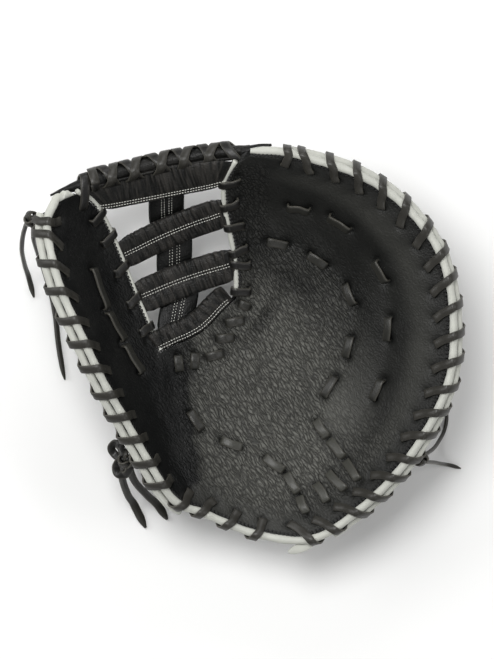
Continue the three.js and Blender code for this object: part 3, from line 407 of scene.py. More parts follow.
# Where the laces pass: the rim's and the web edges' holes by section, and the pads'
# stitches by their two ends in plan, as shares of the mitt's width and length.
RIM_HOLE_INSET, WEB_HOLE_INSET = 11, 8.2
STITCHES = {
    "finger_pad_outer_stitch_1": [(0.078, 0.448, 0.130, 0.438)],
    "finger_pad_outer_stitch_2": [(0.178, 0.422, 0.225, 0.388)],
    "finger_pad_outer_stitch_3": [(0.287, 0.310, 0.313, 0.258)],
    "finger_pad_outer_stitch_4": [(0.320, 0.170, 0.317, 0.112)],
    "finger_pad_outer_stitch_5": [(0.303, 0.012, 0.282, -0.038)],
    "finger_pad_inner_stitch_1": [(0.031, 0.362, 0.078, 0.352)],
    "finger_pad_inner_stitch_2": [(0.130, 0.328, 0.171, 0.300)],
    "finger_pad_inner_stitch_3": [(0.216, 0.252, 0.239, 0.202)],
    "finger_pad_inner_stitch_4": [(0.230, 0.120, 0.218, 0.068)],
    "finger_pad_inner_stitch_5": [(0.192, 0.018, 0.166, -0.030)],
    "thumb_pad_lace": [
        (-0.386, 0.290, -0.353, 0.192), (-0.350, 0.180, -0.314, 0.112), (-0.311, 0.098, -0.272, 0.030)],
    "thumb_base_stitch": [(-0.156, -0.070, -0.128, -0.115)],
    "crotch_stitch_1": [(-0.037, 0.205, -0.014, 0.196)],
    "crotch_stitch_2": [(-0.069, 0.155, -0.028, 0.162)],
    "crotch_stitch_3": [(-0.092, 0.115, -0.052, 0.118)],
    "crotch_stitch_4": [(-0.116, 0.068, -0.078, 0.078)],
    "crotch_stitch_5": [(-0.145, 0.078, -0.145, 0.040)],
    "crotch_stitch_6": [(-0.185, 0.072, -0.182, 0.034)],
    "palm_stitch": [(-0.081, -0.143, -0.033, -0.160)],
    "heel_lace_long": [
        (0.147, -0.093, 0.171, -0.133), (0.179, -0.143, 0.211, -0.183), (0.218, -0.193, 0.249, -0.240)],
    "heel_lace_middle": [
        (0.024, -0.185, 0.068, -0.218), (0.075, -0.228, 0.102, -0.274), (0.107, -0.285, 0.122, -0.325)],
    "heel_lace_side": [(0.178, -0.223, 0.214, -0.265)],
    "heel_lace_short": [(0.147, -0.253, 0.174, -0.295)],
}
PLAN = np.array([MITT_WIDTH, MITT_LENGTH, MITT_WIDTH, MITT_LENGTH])


def stations(kind, start, end, count):
    """Sections spaced evenly along the edge."""
    us = np.linspace(start, end, 601)
    gone = run_along(edge_frame(kind, us)[0])
    return np.interp(np.linspace(0, gone[-1], count), gone, us)


def inset_share(kind, u, inset):
    """The share across the palm that lies this far in from the edge, along its face."""
    shares = np.linspace(0, 0.45, 91)
    line = palm_point(u, 1 - shares if kind == "rim" else shares)
    share = float(np.interp(inset, run_along(line), shares))
    return 1 - share if kind == "rim" else share


FINGER_HOLES = stations("rim", 13.3, 1.4, 21)
THUMB_HOLES = stations("rim", 13.8, 22.9, 16)
WEB_FINGER_HOLES = np.array([0.95, 2.0, 2.95, 3.75, 4.35, 5.35])
WEB_THUMB_HOLES = np.array([17.6, 18.85, 20.1, 21.35, 22.35])
RIM_TURNS = np.concatenate([FINGER_HOLES, THUMB_HOLES])
HOLES = [(u, inset_share("rim", u, RIM_HOLE_INSET)) for u in RIM_TURNS]
HOLES += [(u, inset_share("web", u, WEB_HOLE_INSET)) for u in (*WEB_FINGER_HOLES, *WEB_THUMB_HOLES)]
HOLE_PLACES = [palm_point(*hole) for hole in HOLES]


def soft_noise(x, y, seed):
    """Smooth noise from 0 to 1 that changes over a distance of one."""
    table = np.random.RandomState(seed).rand(64, 64)
    i, j = np.floor(x).astype(int), np.floor(y).astype(int)
    s, t = ease(x - i), ease(y - j)
    at = lambda a, b: table[(i + a) % 64, (j + b) % 64]
    return (at(0, 0) * (1 - s) + at(1, 0) * s) * (1 - t) + (at(0, 1) * (1 - s) + at(1, 1) * s) * t


def from_line(p, a, b):
    """Each point's distance from a line in plan, and its share along it."""
    a, b = np.asarray(a, float), np.asarray(b, float)
    share = np.clip(np.sum((p[..., :2] - a) * (b - a), -1) / np.sum((b - a) ** 2), 0, 1)
    return np.linalg.norm(p[..., :2] - a - share[..., None] * (b - a), axis=-1), share


def hump(distance, width):
    return np.exp(-((distance / width) ** 2))


# The lines that the pads' laces pull into the leather, with their depth and width
PAD_STITCHES = 5
PAD_SEAMS = [("finger_pad_outer_stitch", 1.3, 6.0), ("finger_pad_inner_stitch", 1.5, 6.5)]
# The folds in the pocket, from end to end in plan, with their depth and width
POCKET_CREASES = [
    ((0.075, 0.240), (-0.045, 0.072), 2.3, 4.2), ((0.030, 0.170), (-0.020, 0.100), -1.0, 5.0),
    ((0.012, 0.312), (0.180, 0.205), 1.9, 5.5), ((0.030, 0.262), (0.130, 0.205), -0.9, 6.0),
    ((-0.004, 0.270), (0.015, 0.225), 0.9, 2.6), ((-0.020, 0.150), (-0.075, 0.030), 0.6, 3.0),
    ((0.075, -0.02), (0.030, -0.16), 0.5, 4.0), ((-0.10, -0.02), (-0.06, -0.12), 0.5, 4.0),
    ((0.36, -0.03), (0.27, -0.13), 0.7, 4.0), ((-0.25, -0.02), (-0.19, -0.14), 0.8, 4.5),
]


def palm_relief(u, p, to_rim, to_web):
    """How far the palm's face stands out from its plain shape, in millimetres."""
    relief = np.zeros(u.shape)
    for hole in HOLE_PLACES:
        relief -= 2.2 * hump(np.linalg.norm(p - hole, axis=-1), 3.2)
    for holes in (FINGER_HOLES[::-1], THUMB_HOLES):
        turn = np.interp(u, holes, np.arange(len(holes)))
        inside = (u > holes[0]) & (u < holes[-1])
        relief += np.where(inside, 0.75 * (1 - np.cos(2 * np.pi * turn)) / 2 * hump(to_rim - 13, 9), 0)
    for name, rows in STITCHES.items():
        for x1, y1, x2, y2 in np.array(rows) * PLAN:
            far, _ = from_line(p, (x1, y1), (x2, y2))
            pull = 1.4 if "pad" in name else 0.5
            relief -= pull * hump(far, 4.2)
            for end in ((x1, y1), (x2, y2)):
                relief -= 2.7 * hump(np.linalg.norm(p[..., :2] - end, axis=-1), 2.7)
    for name, depth, width in PAD_SEAMS:
        ends = [np.array(STITCHES[f"{name}_{k + 1}"][0]) * PLAN for k in range(PAD_STITCHES)]
        for before, after in zip(ends[:-1], ends[1:]):
            far, _ = from_line(p, before[2:], after[:2])
            relief -= depth * hump(far, width)
    for a, b, depth, width in POCKET_CREASES:
        ends = np.array(a) * PLAN[:2], np.array(b) * PLAN[:2]
        wander = 3 * (soft_noise(p[..., 0] / 9, p[..., 1] / 9, 3) - 0.5)
        far, share = from_line(p + wander[..., None], *ends)
        relief -= depth * hump(far, width) * np.sin(np.pi * np.clip(share, 0.05, 0.95))
    across = soft_noise(p[..., 0] / 34 + 5, p[..., 1] / 30, 7) - 0.5
    relief += 1.3 * across * ease(to_rim / 20) * ease(to_web / 20)
    slanted = (p[..., 0] * 0.80 + p[..., 1] * 0.60, -p[..., 0] * 0.60 + p[..., 1] * 0.80)
    fine = soft_noise(slanted[0] / 2.6, slanted[1] / 8, 11) + 0.6 * soft_noise(slanted[0] / 1.6, slanted[1] / 5, 12)
    relief += 0.22 * (fine - 0.8) * ease(to_rim / 12)
    crotch = hump(to_web, 16) * ((u > 5.5) & (u < 17))
    relief += 0.5 * crotch * (soft_noise(u * 3.1, to_web / 14, 21) - 0.5)
    return relief


def sheet_rings(outside, inside):
    """Closed rings across a padded sheet: its outer face one way and its inner face back."""
    return np.concatenate([outside, inside[:, ::-1]], 1).reshape(-1, 3)


def grid(start, end, cuts, first, last, cuts_across):
    """Sections down and shares across, as two arrays of one shape."""
    return np.broadcast_arrays(
        np.linspace(start, end, cuts + 1)[:, None], np.linspace(first, last, cuts_across + 1)[None])


PALM_STEPS, PALM_CUTS, INSIDE_CUTS = 440, 132, 24
u_grid, v_grid = grid(0, LAST, PALM_STEPS, 0, 1, PALM_CUTS)
palm_face = palm_point(u_grid, v_grid)
palm_up = palm_normal(u_grid, v_grid)
steps_across = np.linalg.norm(np.diff(palm_face, axis=1), axis=-1)
to_web = np.concatenate([np.zeros((PALM_STEPS + 1, 1)), np.cumsum(steps_across, 1)], 1)
to_rim = to_web[:, -1:] - to_web
relief = palm_relief(u_grid, palm_face, to_rim, to_web)
relief *= ease(to_rim / 3) * ease((to_web + 1.5) / 3)
palm_outside = palm_face + palm_up * relief[..., None]
u_in, v_in = grid(0, LAST, PALM_STEPS, 0, 1, INSIDE_CUTS)
palm_inside = palm_point(u_in, v_in) - palm_normal(u_in, v_in) * pad_at(v_in)[..., None]
ring_size = PALM_CUTS + INSIDE_CUTS + 2

# How worn and dry the leather is, with painted light and shade in the same mask: paler in the pocket, where the ball
# lands, partly from wear and partly as painted sheen
plan = palm_face[..., :2]
palm_wear_and_painted_light = hump(plan[..., 0] - 12, 88) * hump(plan[..., 1] + 10, 118)
palm_wear_and_painted_light = ease((palm_wear_and_painted_light - 0.25) / 0.6)
blotches = soft_noise(plan[..., 0] / 22, plan[..., 1] / 22, 31)
palm_wear_and_painted_light = np.clip(palm_wear_and_painted_light * (0.8 + 0.4 * blotches), 0, 1)

# Painted shade: the thumb stall's side, a steep face turned from the light, is kept black up to the fold where the
# palm bends into it
fold = np.interp(plan[..., 1], (-100, -84, -70, -50, -20, 18, 60), (-90, -58, -42, -42, -46, -50, -44))
fold = fold + 5 * (soft_noise(plan[..., 1] / 7, plan[..., 0] / 9, 33) - 0.5)
palm_wear_and_painted_light = palm_wear_and_painted_light * ease((plan[..., 0] - fold + 3) / 8)
# Painted light: a band of the finger pad near the rim, and the whole finger side a little, are made paler where they
# face the light
outer_pad_painted_light = hump(to_rim - 24, 15) * (u_grid < 13.5) * ease(u_grid / 3)
palm_wear_and_painted_light = np.maximum(palm_wear_and_painted_light, 0.50 * outer_pad_painted_light * (0.8 + 0.4 * blotches))
palm_wear_and_painted_light = np.maximum(palm_wear_and_painted_light, 0.14 * (u_grid < 13.5))
# Painted shade: the palm is darkened along the deep pocket creases
for a, b, depth, width in POCKET_CREASES:
    if depth > 1.5:
        far, share = from_line(palm_face, np.array(a) * PLAN[:2], np.array(b) * PLAN[:2])
        palm_wear_and_painted_light *= 1 - 0.62 * hump(far, 1.5 * width) * np.sin(np.pi * np.clip(share, 0.08, 0.92))
# Painted shadow: a dark outline round each lace stitch on the palm
for rows in STITCHES.values():
    for x1, y1, x2, y2 in np.array(rows) * PLAN:
        palm_wear_and_painted_light *= 1 - 0.75 * hump(from_line(palm_face, (x1, y1), (x2, y2))[0], 4.0)
# Painted shade: the palm is darkened round each lace hole
for hole in HOLE_PLACES:
    palm_wear_and_painted_light *= 1 - 0.8 * hump(np.linalg.norm(palm_face - hole, axis=-1), 3.6)
unworn_inside = np.zeros((PALM_STEPS + 1, INSIDE_CUTS + 1))

# How creased it is: most in the pocket, least on the stuffed pads and along the rim
pad_line = np.vstack([np.array(STITCHES[f"finger_pad_inner_stitch_{k + 1}"][0]).reshape(2, 2) * PLAN[:2]
                      for k in range(PAD_STITCHES)])
from_pad = np.full(palm_wear_and_painted_light.shape, 1e3)
for before, after in zip(pad_line[:-1], pad_line[1:]):
    from_pad = np.minimum(from_pad, from_line(palm_face, before, after)[0])
beyond = plan[..., 0] - np.interp(-plan[..., 1], -pad_line[:, 1], pad_line[:, 0])
on_pad = ease(beyond / 8 + 0.5) * ease((plan[..., 1] + 60) / 60)
creased = 1 - on_pad * (0.85 - 0.45 * hump(from_pad, 14))
creased *= ease(to_rim / 30) * (0.35 + 0.65 * ease((plan[..., 0] - fold + 12) / 14))


# Full grain cowhide: pebbled and matt, with fine creases. It is drawn coarser than the
# real grain, so that it shows at this size.
def cowhide(name, colour, worn_colour, roughness, pebble, strength, sheen, crease_angle=0):
    material = new_material(name)
    tree = material.node_tree
    place = node(tree, "TexCoord").outputs["Object"]
    warp = node(tree, "TexNoise", inputs={"Scale": 1 / (9 * MM), "Detail": 2}, links={"Vector": place})
    bent = node(tree, "Mix", {"data_type": "VECTOR"}, {0: 0.004}, {4: place, 5: warp.outputs["Color"]})
    pebbles = node(tree, "TexVoronoi", {"feature": "SMOOTH_F1"},
                   {"Scale": 1 / (pebble * MM), "Smoothness": 0.6}, {"Vector": bent.outputs[1]})
    creases = node(tree, "TexNoise", inputs={"Scale": 1 / (4.5 * MM), "Detail": 6, "Roughness": 0.62},
                   links={"Vector": place})
    clouds = node(tree, "TexNoise", inputs={"Scale": 1 / (28 * MM), "Detail": 4}, links={"Vector": place})
    worn = node(tree, "Attribute", {"attribute_name": "worn"})
    share = node(tree, "Math", {"operation": "MULTIPLY_ADD"}, {1: 0.25, 2: -0.1}, {0: clouds.outputs["Fac"]})
    total = node(tree, "Math", {"operation": "ADD", "use_clamp": True},
                 links={0: worn.outputs["Fac"], 1: share.outputs[0]})
    if crease_angle:
        total = node(tree, "Math", {"operation": "MULTIPLY"}, {1: 0.53}, {0: total.outputs[0]})
    tone = node(tree, "Mix", {"data_type": "RGBA"}, {6: linear(colour), 7: linear(worn_colour)},
                {0: total.outputs[0]})
    heights = node(tree, "Math", {"operation": "MULTIPLY_ADD"}, {1: 0.5},
                   {0: creases.outputs["Fac"], 2: pebbles.outputs["Distance"]})
    if crease_angle:
        creased = node(tree, "Attribute", {"attribute_name": "creased"})
        for turn, length, pitch, depth in ((0, 8.5, 1.9, 2.6), (0.45, 5.5, 2.8, 1.3)):
            lying = node(tree, "Mapping", {"vector_type": "TEXTURE"}, {
                "Rotation": (0, 0, crease_angle + turn), "Scale": (length * MM, pitch * MM, 5 * MM)},
                {"Vector": bent.outputs[1]})
            wrinkle = node(tree, "TexVoronoi", {"feature": "DISTANCE_TO_EDGE"}, {"Scale": 1.0},
                           {"Vector": lying.outputs["Vector"]})
            folded = node(tree, "Math", {"operation": "MINIMUM"}, {1: 0.2}, {0: wrinkle.outputs["Distance"]})
            deep = node(tree, "Math", {"operation": "MULTIPLY"}, {1: depth * 3}, {0: folded.outputs[0]})
            shown = node(tree, "Math", {"operation": "MULTIPLY"},
                         links={0: deep.outputs[0], 1: creased.outputs["Fac"]})
            heights = node(tree, "Math", {"operation": "ADD"}, links={0: heights.outputs[0], 1: shown.outputs[0]})
            # The wrinkles' tops are rubbed pale, and their furrows are darker, partly from dye and partly as painted
            # shade
            top = node(tree, "Math", {"operation": "MULTIPLY_ADD"}, {1: depth * 2.0, 2: -depth * 0.18},
                       {0: folded.outputs[0]})
            rubbed = node(tree, "Math", {"operation": "MULTIPLY_ADD"}, {2: 1.0},
                          {0: top.outputs[0], 1: creased.outputs["Fac"]})
            total = node(tree, "Math", {"operation": "MULTIPLY", "use_clamp": True},
                         links={0: total.outputs[0], 1: rubbed.outputs[0]})
        tree.links.new(total.outputs[0], tone.inputs[0])
    bump = node(tree, "Bump", inputs={"Strength": strength, "Distance": 0.4 * MM},
                links={"Height": heights.outputs[0]})
    close_material(tree, node(tree, "BsdfPrincipled", inputs={
        "Roughness": roughness, "Specular IOR Level": 0.24, "Sheen Weight": sheen, "Sheen Roughness": 0.5},
        links={"Base Color": tone.outputs[2], "Normal": bump.outputs["Normal"]}))
    return material


palm_cowhide = cowhide("full_grain_cowhide_palm", "#050606", "#5c5c57", 0.50, 1.5, 0.9, 0.01, -0.98)
palm = new_piece("palm_leather", sheet_rings(palm_outside, palm_inside),
                 ring_faces(PALM_STEPS + 1, ring_size), palm_cowhide, "palm_leather", ("palm_shell",),
                 worn=np.concatenate([palm_wear_and_painted_light, unworn_inside], 1),
                 creased=np.concatenate([creased, unworn_inside], 1))

# Backs of the mitt. Two plain panels of the same hide behind the fingers and behind the
# thumb, bowed away from the palm where the hand goes, and flattened where the mitt rests.
BACK_SPANS = {"finger": (0.8, 12.7), "thumb": (15.6, 23.2)}
BACK_STEPS = {"finger": 260, "thumb": 170}
BACK_CUTS = 60


def rested(points, lowest):
    """Points kept above a surface, easing into it over a few millimetres."""
    z = points[..., 2] - lowest
    points = points.copy()
    points[..., 2] = lowest + np.where(z > 3, z, np.where(z < -3, 0, (z + 3) ** 2 / 12))
    return points


back_cowhide = cowhide("full_grain_cowhide_back", "#101110", "#1c1c1b", 0.5, 1.6, 0.55, 0.03)
for side, span in BACK_SPANS.items():
    u_back, v_back = grid(*span, BACK_STEPS[side], 0, 1, BACK_CUTS)
    face = palm_point(u_back, v_back)
    lumps = soft_noise(face[..., 0] / 30, face[..., 1] / 26, 41) - 0.5
    lumps += 0.25 * (soft_noise(face[..., 0] / 4, face[..., 1] / 10, 42) - 0.5)
    swell = lumps * ease(v_back / 0.15) * ease((1 - v_back) / 0.15)
    inner = rested(under_hand(u_back, v_back, 0), BACK_THICKNESS)
    outer = rested(under_hand(u_back, v_back, BACK_THICKNESS + swell), 0)
    worn = 0.5 * soft_noise(face[..., 0] / 25, face[..., 1] / 25, 43)
    back = new_piece(side + "_back", sheet_rings(inner, outer), ring_faces(BACK_STEPS[side] + 1, 2 * BACK_CUTS + 2),
                     back_cowhide, "shell_leather", (side + "_back_shell",), worn=np.concatenate([worn, worn], 1))

# Wrist strap. A doubled strip of the same hide across the back of the hand at the open
# heel, its ends sewn inside the two backs.
STRAP_THICKNESS, STRAP_SPAN = 3.5, (0.54, 0.72)
CLEARANCE = 0.4
STRAP_START, STRAP_END = 12.105, 16.143
u_strap, v_strap = grid(STRAP_START, STRAP_END, 90, *STRAP_SPAN, 14)
strap_low = rested(under_hand(u_strap, v_strap, -CLEARANCE), BACK_THICKNESS + CLEARANCE)
strap_high = strap_low + palm_normal(u_strap, v_strap) * STRAP_THICKNESS
band = new_piece("wrist_band", sheet_rings(strap_high, strap_low), ring_faces(91, 30), back_cowhide,
                 "shell_leather", ("wrist_strap",), worn=0)

# Binding. Light grey smooth leather rolled round a cord and sewn along the rim of the
# palm, a second roll along the backs' rims, and a thinner piping on the web's edges.
BINDING_RADIUS, PIPING_RADIUS = 3.1, 2.0
ROLL_OUT = BINDING_RADIUS + CLEARANCE
PALM_ROLL_UP = -EDGE_THICKNESS / 2
BACK_ROLL_UP = PALM_ROLL_UP - EDGE_THICKNESS / 2 - RIM_GAP - BACK_THICKNESS / 2
PIPING_OUT = PIPING_RADIUS + CLEARANCE
BINDING_SIDES = 14

smooth_binding = new_material("smooth_grey_binding_leather")
tree = smooth_binding.node_tree
place = node(tree, "TexCoord").outputs["Object"]
clouds = node(tree, "TexNoise", inputs={"Scale": 1 / (14 * MM), "Detail": 5, "Roughness": 0.6},
              links={"Vector": place})
creases = node(tree, "TexNoise", inputs={"Scale": 1 / (2.2 * MM), "Detail": 4}, links={"Vector": place})
tone = node(tree, "Mix", {"data_type": "RGBA"}, {6: linear("#a9aaa3"), 7: linear("#c6c7bf")},
            {0: clouds.outputs["Fac"]})
bump = node(tree, "Bump", inputs={"Strength": 0.35, "Distance": 0.25 * MM},
            links={"Height": creases.outputs["Fac"]})
close_material(tree, node(tree, "BsdfPrincipled", inputs={"Roughness": 0.6, "Specular IOR Level": 0.25},
                          links={"Base Color": tone.outputs[2], "Normal": bump.outputs["Normal"]}))


def tube(centres, outs, ups, radii, sides):
    """Rings of points round a line, with its outward and upward directions at each centre."""
    turns = np.linspace(0, 2 * np.pi, sides, endpoint=False)
    ring = outs[:, None] * np.cos(turns)[None, :, None] + ups[:, None] * np.sin(turns)[None, :, None]
    return (centres[:, None] + ring * np.asarray(radii)[:, None, None]).reshape(-1, 3)


def pinched(u, holes, radius, depth=0.10):
    """A roll's radius, drawn in a little under each turn of lace."""
    nearest = np.min(np.abs(u[:, None] - holes[None]), 1)
    return radius * (1 - depth * hump(nearest, 0.12) + 0.03 * (soft_noise(u * 6, u * 0, 51) - 0.5))


ROLL_STEPS, CORNER_STEPS, TIP_STEPS = 900, 7, 24
u_roll = np.linspace(0, LAST, ROLL_STEPS)
_, out, up, along = edge_frame("rim", u_roll)
rim_line = edge_place("rim", u_roll, ROLL_OUT, PALM_ROLL_UP)
tip_turns = np.linspace(0.12, 1, CORNER_STEPS)[:, None] * np.pi / 2
tip_outs = unit(out[-1] * np.cos(tip_turns) + along[-1] * np.sin(tip_turns))
tip_corner = palm_point(LAST, 1.0) + tip_outs * ROLL_OUT + up[-1] * PALM_ROLL_UP
tip_shares = np.linspace(0.94, 0.10, TIP_STEPS)
tip_full = np.full_like(tip_shares, LAST)
tip_up, tip_along = palm_normal(tip_full, tip_shares), along_rim(tip_full, tip_shares)
tip_line = palm_point(tip_full, tip_shares) + tip_along * ROLL_OUT + tip_up * PALM_ROLL_UP
centres = np.vstack([rim_line, tip_corner, tip_line])
outs = np.vstack([out, tip_outs, tip_along])
ups = np.vstack([up, np.repeat(up[-1:], CORNER_STEPS, 0), tip_up])
radii = pinched(u_roll, RIM_TURNS, BINDING_RADIUS) * (0.5 + 0.5 * ease((u_roll + 0.15) / 0.55))
radii = np.concatenate([radii, np.full(CORNER_STEPS + TIP_STEPS, BINDING_RADIUS)])
new_piece("palm_rim_roll", tube(centres, outs, ups, radii, BINDING_SIDES),
          ring_faces(len(centres), BINDING_SIDES), smooth_binding, "binding_leather", ("palm_binding",))


def edge_roll(name, stands_for, start, end, count, turns):
    """A roll along the backs' rim, or thinner along the palm's web edge, by its name."""
    kind = "web" if name.startswith("web") else "rim"
    out_by, up_by, radius = {
        "rim": (ROLL_OUT, BACK_ROLL_UP, BINDING_RADIUS), "web": (PIPING_OUT, PALM_ROLL_UP, PIPING_RADIUS)}[kind]
    u = np.linspace(start, end, count)
    _, out, up, _ = edge_frame(kind, u)
    points = tube(edge_place(kind, u, out_by, up_by), out, up, pinched(u, turns, radius), BINDING_SIDES)
    new_piece(name, points, ring_faces(count, BINDING_SIDES), smooth_binding, "binding_leather", (stands_for,))


edge_roll("finger_back_roll", "finger_back_binding", 1.0, 12.7, 460, RIM_TURNS)
edge_roll("thumb_back_roll", "thumb_back_binding", 15.6, 23.2, 300, RIM_TURNS)
edge_roll("web_finger_piping", "web_finger_binding", 0, 5.8, 200, WEB_FINGER_HOLES)
edge_roll("web_thumb_piping", "web_thumb_binding", 16.2, LAST, 260, WEB_THUMB_HOLES)

# Binding's free end. At the heel the binding leather runs out past its seam as a flat
# tongue, wide where it leaves the roll and cut slantwise to a point.
BINDING_END = np.array([
    (0.134, -0.394, 0.486), (0.122, -0.405, 0.484), (0.101, -0.415, 0.478), (0.080, -0.423, 0.472)])
BINDING_END_THICKNESS = 1.6
end_line = smooth_path(BINDING_END * (MITT_WIDTH, MITT_LENGTH, MITT_HEIGHT), 8)
end_width = np.interp(np.linspace(0, 1, len(end_line)), (0, 0.55, 0.85, 1), (8, 7.4, 5.2, 2.2))
points_made, faces_made, _ = ribbon(end_line, np.tile((0.0, 1.0, 0.0), (len(end_line), 1)), end_width,
                                    BINDING_END_THICKNESS)
new_piece("binding_tongue", points_made, faces_made, smooth_binding, "binding_leather", ("binding_end",))

# Whip lacing. One long waxed lace goes down through the palm and the back, out over the
# rolls, and back in at the next hole. Each turn lies slanted over the binding.
LACE_WIDTH, LACE_THICKNESS = 6.0, 1.7
LACE_CLEAR = 0.9


def backed(u):
    """Whether a back lies under the palm's rim at this section."""
    return any(start <= u <= end for start, end in BACK_SPANS.values())


def in_from(kind, u, inset, lift):
    """A place this far in from the edge along the palm's face, and this much above it."""
    v = inset_share(kind, u, inset)
    return palm_point(u, v) + palm_normal(u, v) * lift


def whip_lace(holes, slants, seed):
    """A lace whipped over the rim. slants gives, by section, how far each turn leans on."""
    rng = np.random.RandomState(seed)
    top = PALM_ROLL_UP + BINDING_RADIUS + LACE_CLEAR
    reach = ROLL_OUT + BINDING_RADIUS + LACE_CLEAR
    line, sides = [], []

    def add(u, point, side=None):
        line.append(point)
        sides.append(edge_frame("rim", u)[3] if side is None else side)

    def over(u, out, up):
        add(u, edge_place("rim", u, out, up))

    for k, hole in enumerate(holes):
        share = inset_share("rim", hole, RIM_HOLE_INSET)
        if backed(hole):
            below = under_hand(hole, share, BACK_THICKNESS + 1.2)
        else:
            below = in_from("rim", hole, RIM_HOLE_INSET, -6)
        following = holes[k + 1] if k < len(holes) - 1 else 1.5 * hole - 0.5 * holes[k - 1]
        outer = hole + (following - hole) * (np.interp(hole, *slants) + rng.uniform(-0.06, 0.06))
        at = lambda t: hole + (outer - hole) * t
        face = palm_normal(hole, share)
        way = in_from("rim", at(0.4), RIM_HOLE_INSET * 0.4, 0) - in_from("rim", hole, RIM_HOLE_INSET, 0)
        slit = unit(np.cross(face, way)) * np.sign(holes[1] - holes[0])
        slit = slit * np.sign(slit @ edge_frame("rim", hole)[3])
        add(hole, below, slit)
        lowest = (BACK_ROLL_UP if backed(hole) else PALM_ROLL_UP) - BINDING_RADIUS - 1.0
        # Up through the hole and flat along the leather, then over the palm's roll
        for t, inset, lift in ((0.0, RIM_HOLE_INSET, -2.4), (0.0, RIM_HOLE_INSET - 0.1, 0.2),
                               (0.06, RIM_HOLE_INSET - 1.4, 1.15), (0.40, RIM_HOLE_INSET * 0.4, 1.35)):
            add(at(t), in_from("rim", at(t), inset, lift), slit)
        over(at(0.68), ROLL_OUT * 0.7, top)
        over(at(0.88), ROLL_OUT + (reach - ROLL_OUT) * 0.8, PALM_ROLL_UP + (top - PALM_ROLL_UP) * 0.7)
        over(outer, reach, PALM_ROLL_UP + (lowest - PALM_ROLL_UP) * 0.35)
        after = lambda t: outer + (following - outer) * t
        over(after(0.25), ROLL_OUT + (reach - ROLL_OUT) * 0.5, lowest)
        if k < len(holes) - 1:
            over(after(0.65), ROLL_OUT * 0.1, lowest - 0.6)
    return ribbon(smooth_path(line, 6), unit(smooth_path(sides, 6)), LACE_WIDTH, LACE_THICKNESS)


FINGER_SLANTS = ((1.4, 3.6, 6.0, 13.3), (0.95, 0.9, 0.5, 0.6))
THUMB_SLANTS = ((13.8, 22.4, 22.9), (0.6, 0.6, 0.1))
lace("finger_rim_lacing", [whip_lace(FINGER_HOLES, FINGER_SLANTS, 61)], ("finger_edge_lace",))
lace("thumb_rim_lacing", [whip_lace(THUMB_HOLES, THUMB_SLANTS, 62)], ("thumb_edge_lace",))

# Web side lacing. Short turns of lace go up through the palm, over the piping and down
# through the ends of the web's bars. They are placed by section, with their slant.
WEB_TURNS = {
    "web_finger": [(0.95, 0.20), (2.0, 0.1), (2.95, -0.1), (3.75, 0.12), (4.35, -0.1), (5.35, 0.1)],
    "web_thumb": [(22.35, 0.12), (21.35, 0.1), (20.1, 0.12), (18.85, 0.12), (17.6, 0.1)],
}
# A turn's way in from the web's edge and over the piping: inwards or outwards, up, and
# how much of its slant it has there
WEB_TURN_INSIDE = ((8.2, -3, 0), (8.2, 0.1, 0), (7.0, 1.0, 0), (3.6, 1.2, 0.4))
WEB_TURN_OUTSIDE = ((0.9, 1.25, 0.7), (2.9, 1.3, 0.9), (5.0, 0.1, 1.0), (5.6, -2.0, 1.05), (4.6, -4.4, 1.1))


def beside_web(u, inset, lift):
    """A place on the palm's face straight in from the web's edge."""
    aim = edge_place("web", u, -inset, 0)
    near_us = np.linspace(max(u - 2, 0), min(u + 2, LAST), 61)
    near_u, near_v = np.meshgrid(near_us, np.linspace(0, 0.3, 31))
    spots = palm_point(near_u, near_v)
    i = np.argmin(np.linalg.norm(spots - aim, axis=-1))
    return spots.reshape(-1, 3)[i] + palm_normal(near_u, near_v).reshape(-1, 3)[i] * lift


def web_turn(u, slant):
    """One turn of lace from the palm's face over the piping and down behind a bar's end."""
    line = [beside_web(u + slant * share, inset, lift) for inset, lift, share in WEB_TURN_INSIDE]
    line += [edge_place("web", u + slant * share, out, up) for out, up, share in WEB_TURN_OUTSIDE]
    sides = np.repeat(edge_frame("web", u)[3][None], len(line), 0)
    return ribbon(smooth_path(line, 6), unit(smooth_path(sides, 6)), LACE_WIDTH, LACE_THICKNESS)


for name, turns in WEB_TURNS.items():
    lace(name + "_lacing", [web_turn(*turn) for turn in turns], (name + "_lace",))

# Pad stitches. Short bights of the same lace that come up through the padding, lie on the
# face and go down again, pulling the leather in round them.
STITCH_WIDTH = 6.4
BIGHT_PATH = ((0.0, -2.6), (0.0, 0.5), (0.09, 2.0), (0.5, 1.25), (0.91, 2.0), (1.0, 0.5), (1.0, -2.6))
RUBBED_PALM, RUBBED_PADS = 0.9, 0.35
plan_points = palm_outside.reshape(-1, 3)
plan_normals = palm_up.reshape(-1, 3)


def on_palm(x, y):
    """The palm's finished face over a place in plan, and its direction there."""
    nearest = np.argsort((plan_points[:, 0] - x) ** 2 + (plan_points[:, 1] - y) ** 2)[:4]
    return plan_points[nearest].mean(0), unit(plan_normals[nearest].mean(0))


def bight(x1, y1, x2, y2):
    """One stitch between two places in plan, narrowed where it dips into its holes."""
    line, ups = [], []
    for share, lift in BIGHT_PATH:
        point, up = on_palm(x1 + (x2 - x1) * share, y1 + (y2 - y1) * share)
        line.append(point + up * lift)
        ups.append(up)
    line, ups = smooth_path(line, 5), unit(smooth_path(ups, 5))
    sides = unit(np.cross(ups, unit(np.array([x2 - x1, y2 - y1, 0.0]))))
    ends = np.minimum(np.arange(len(line)), np.arange(len(line))[::-1]) / 8
    return ribbon(line, sides, STITCH_WIDTH * (0.66 + 0.34 * ease(ends)), LACE_THICKNESS)


for name, rows in STITCHES.items():
    lace(name + "_lace", [bight(*(np.array(row) * PLAN)) for row in rows], (name,),
         rubbed=RUBBED_PALM if name.startswith(("heel", "palm")) else RUBBED_PADS)

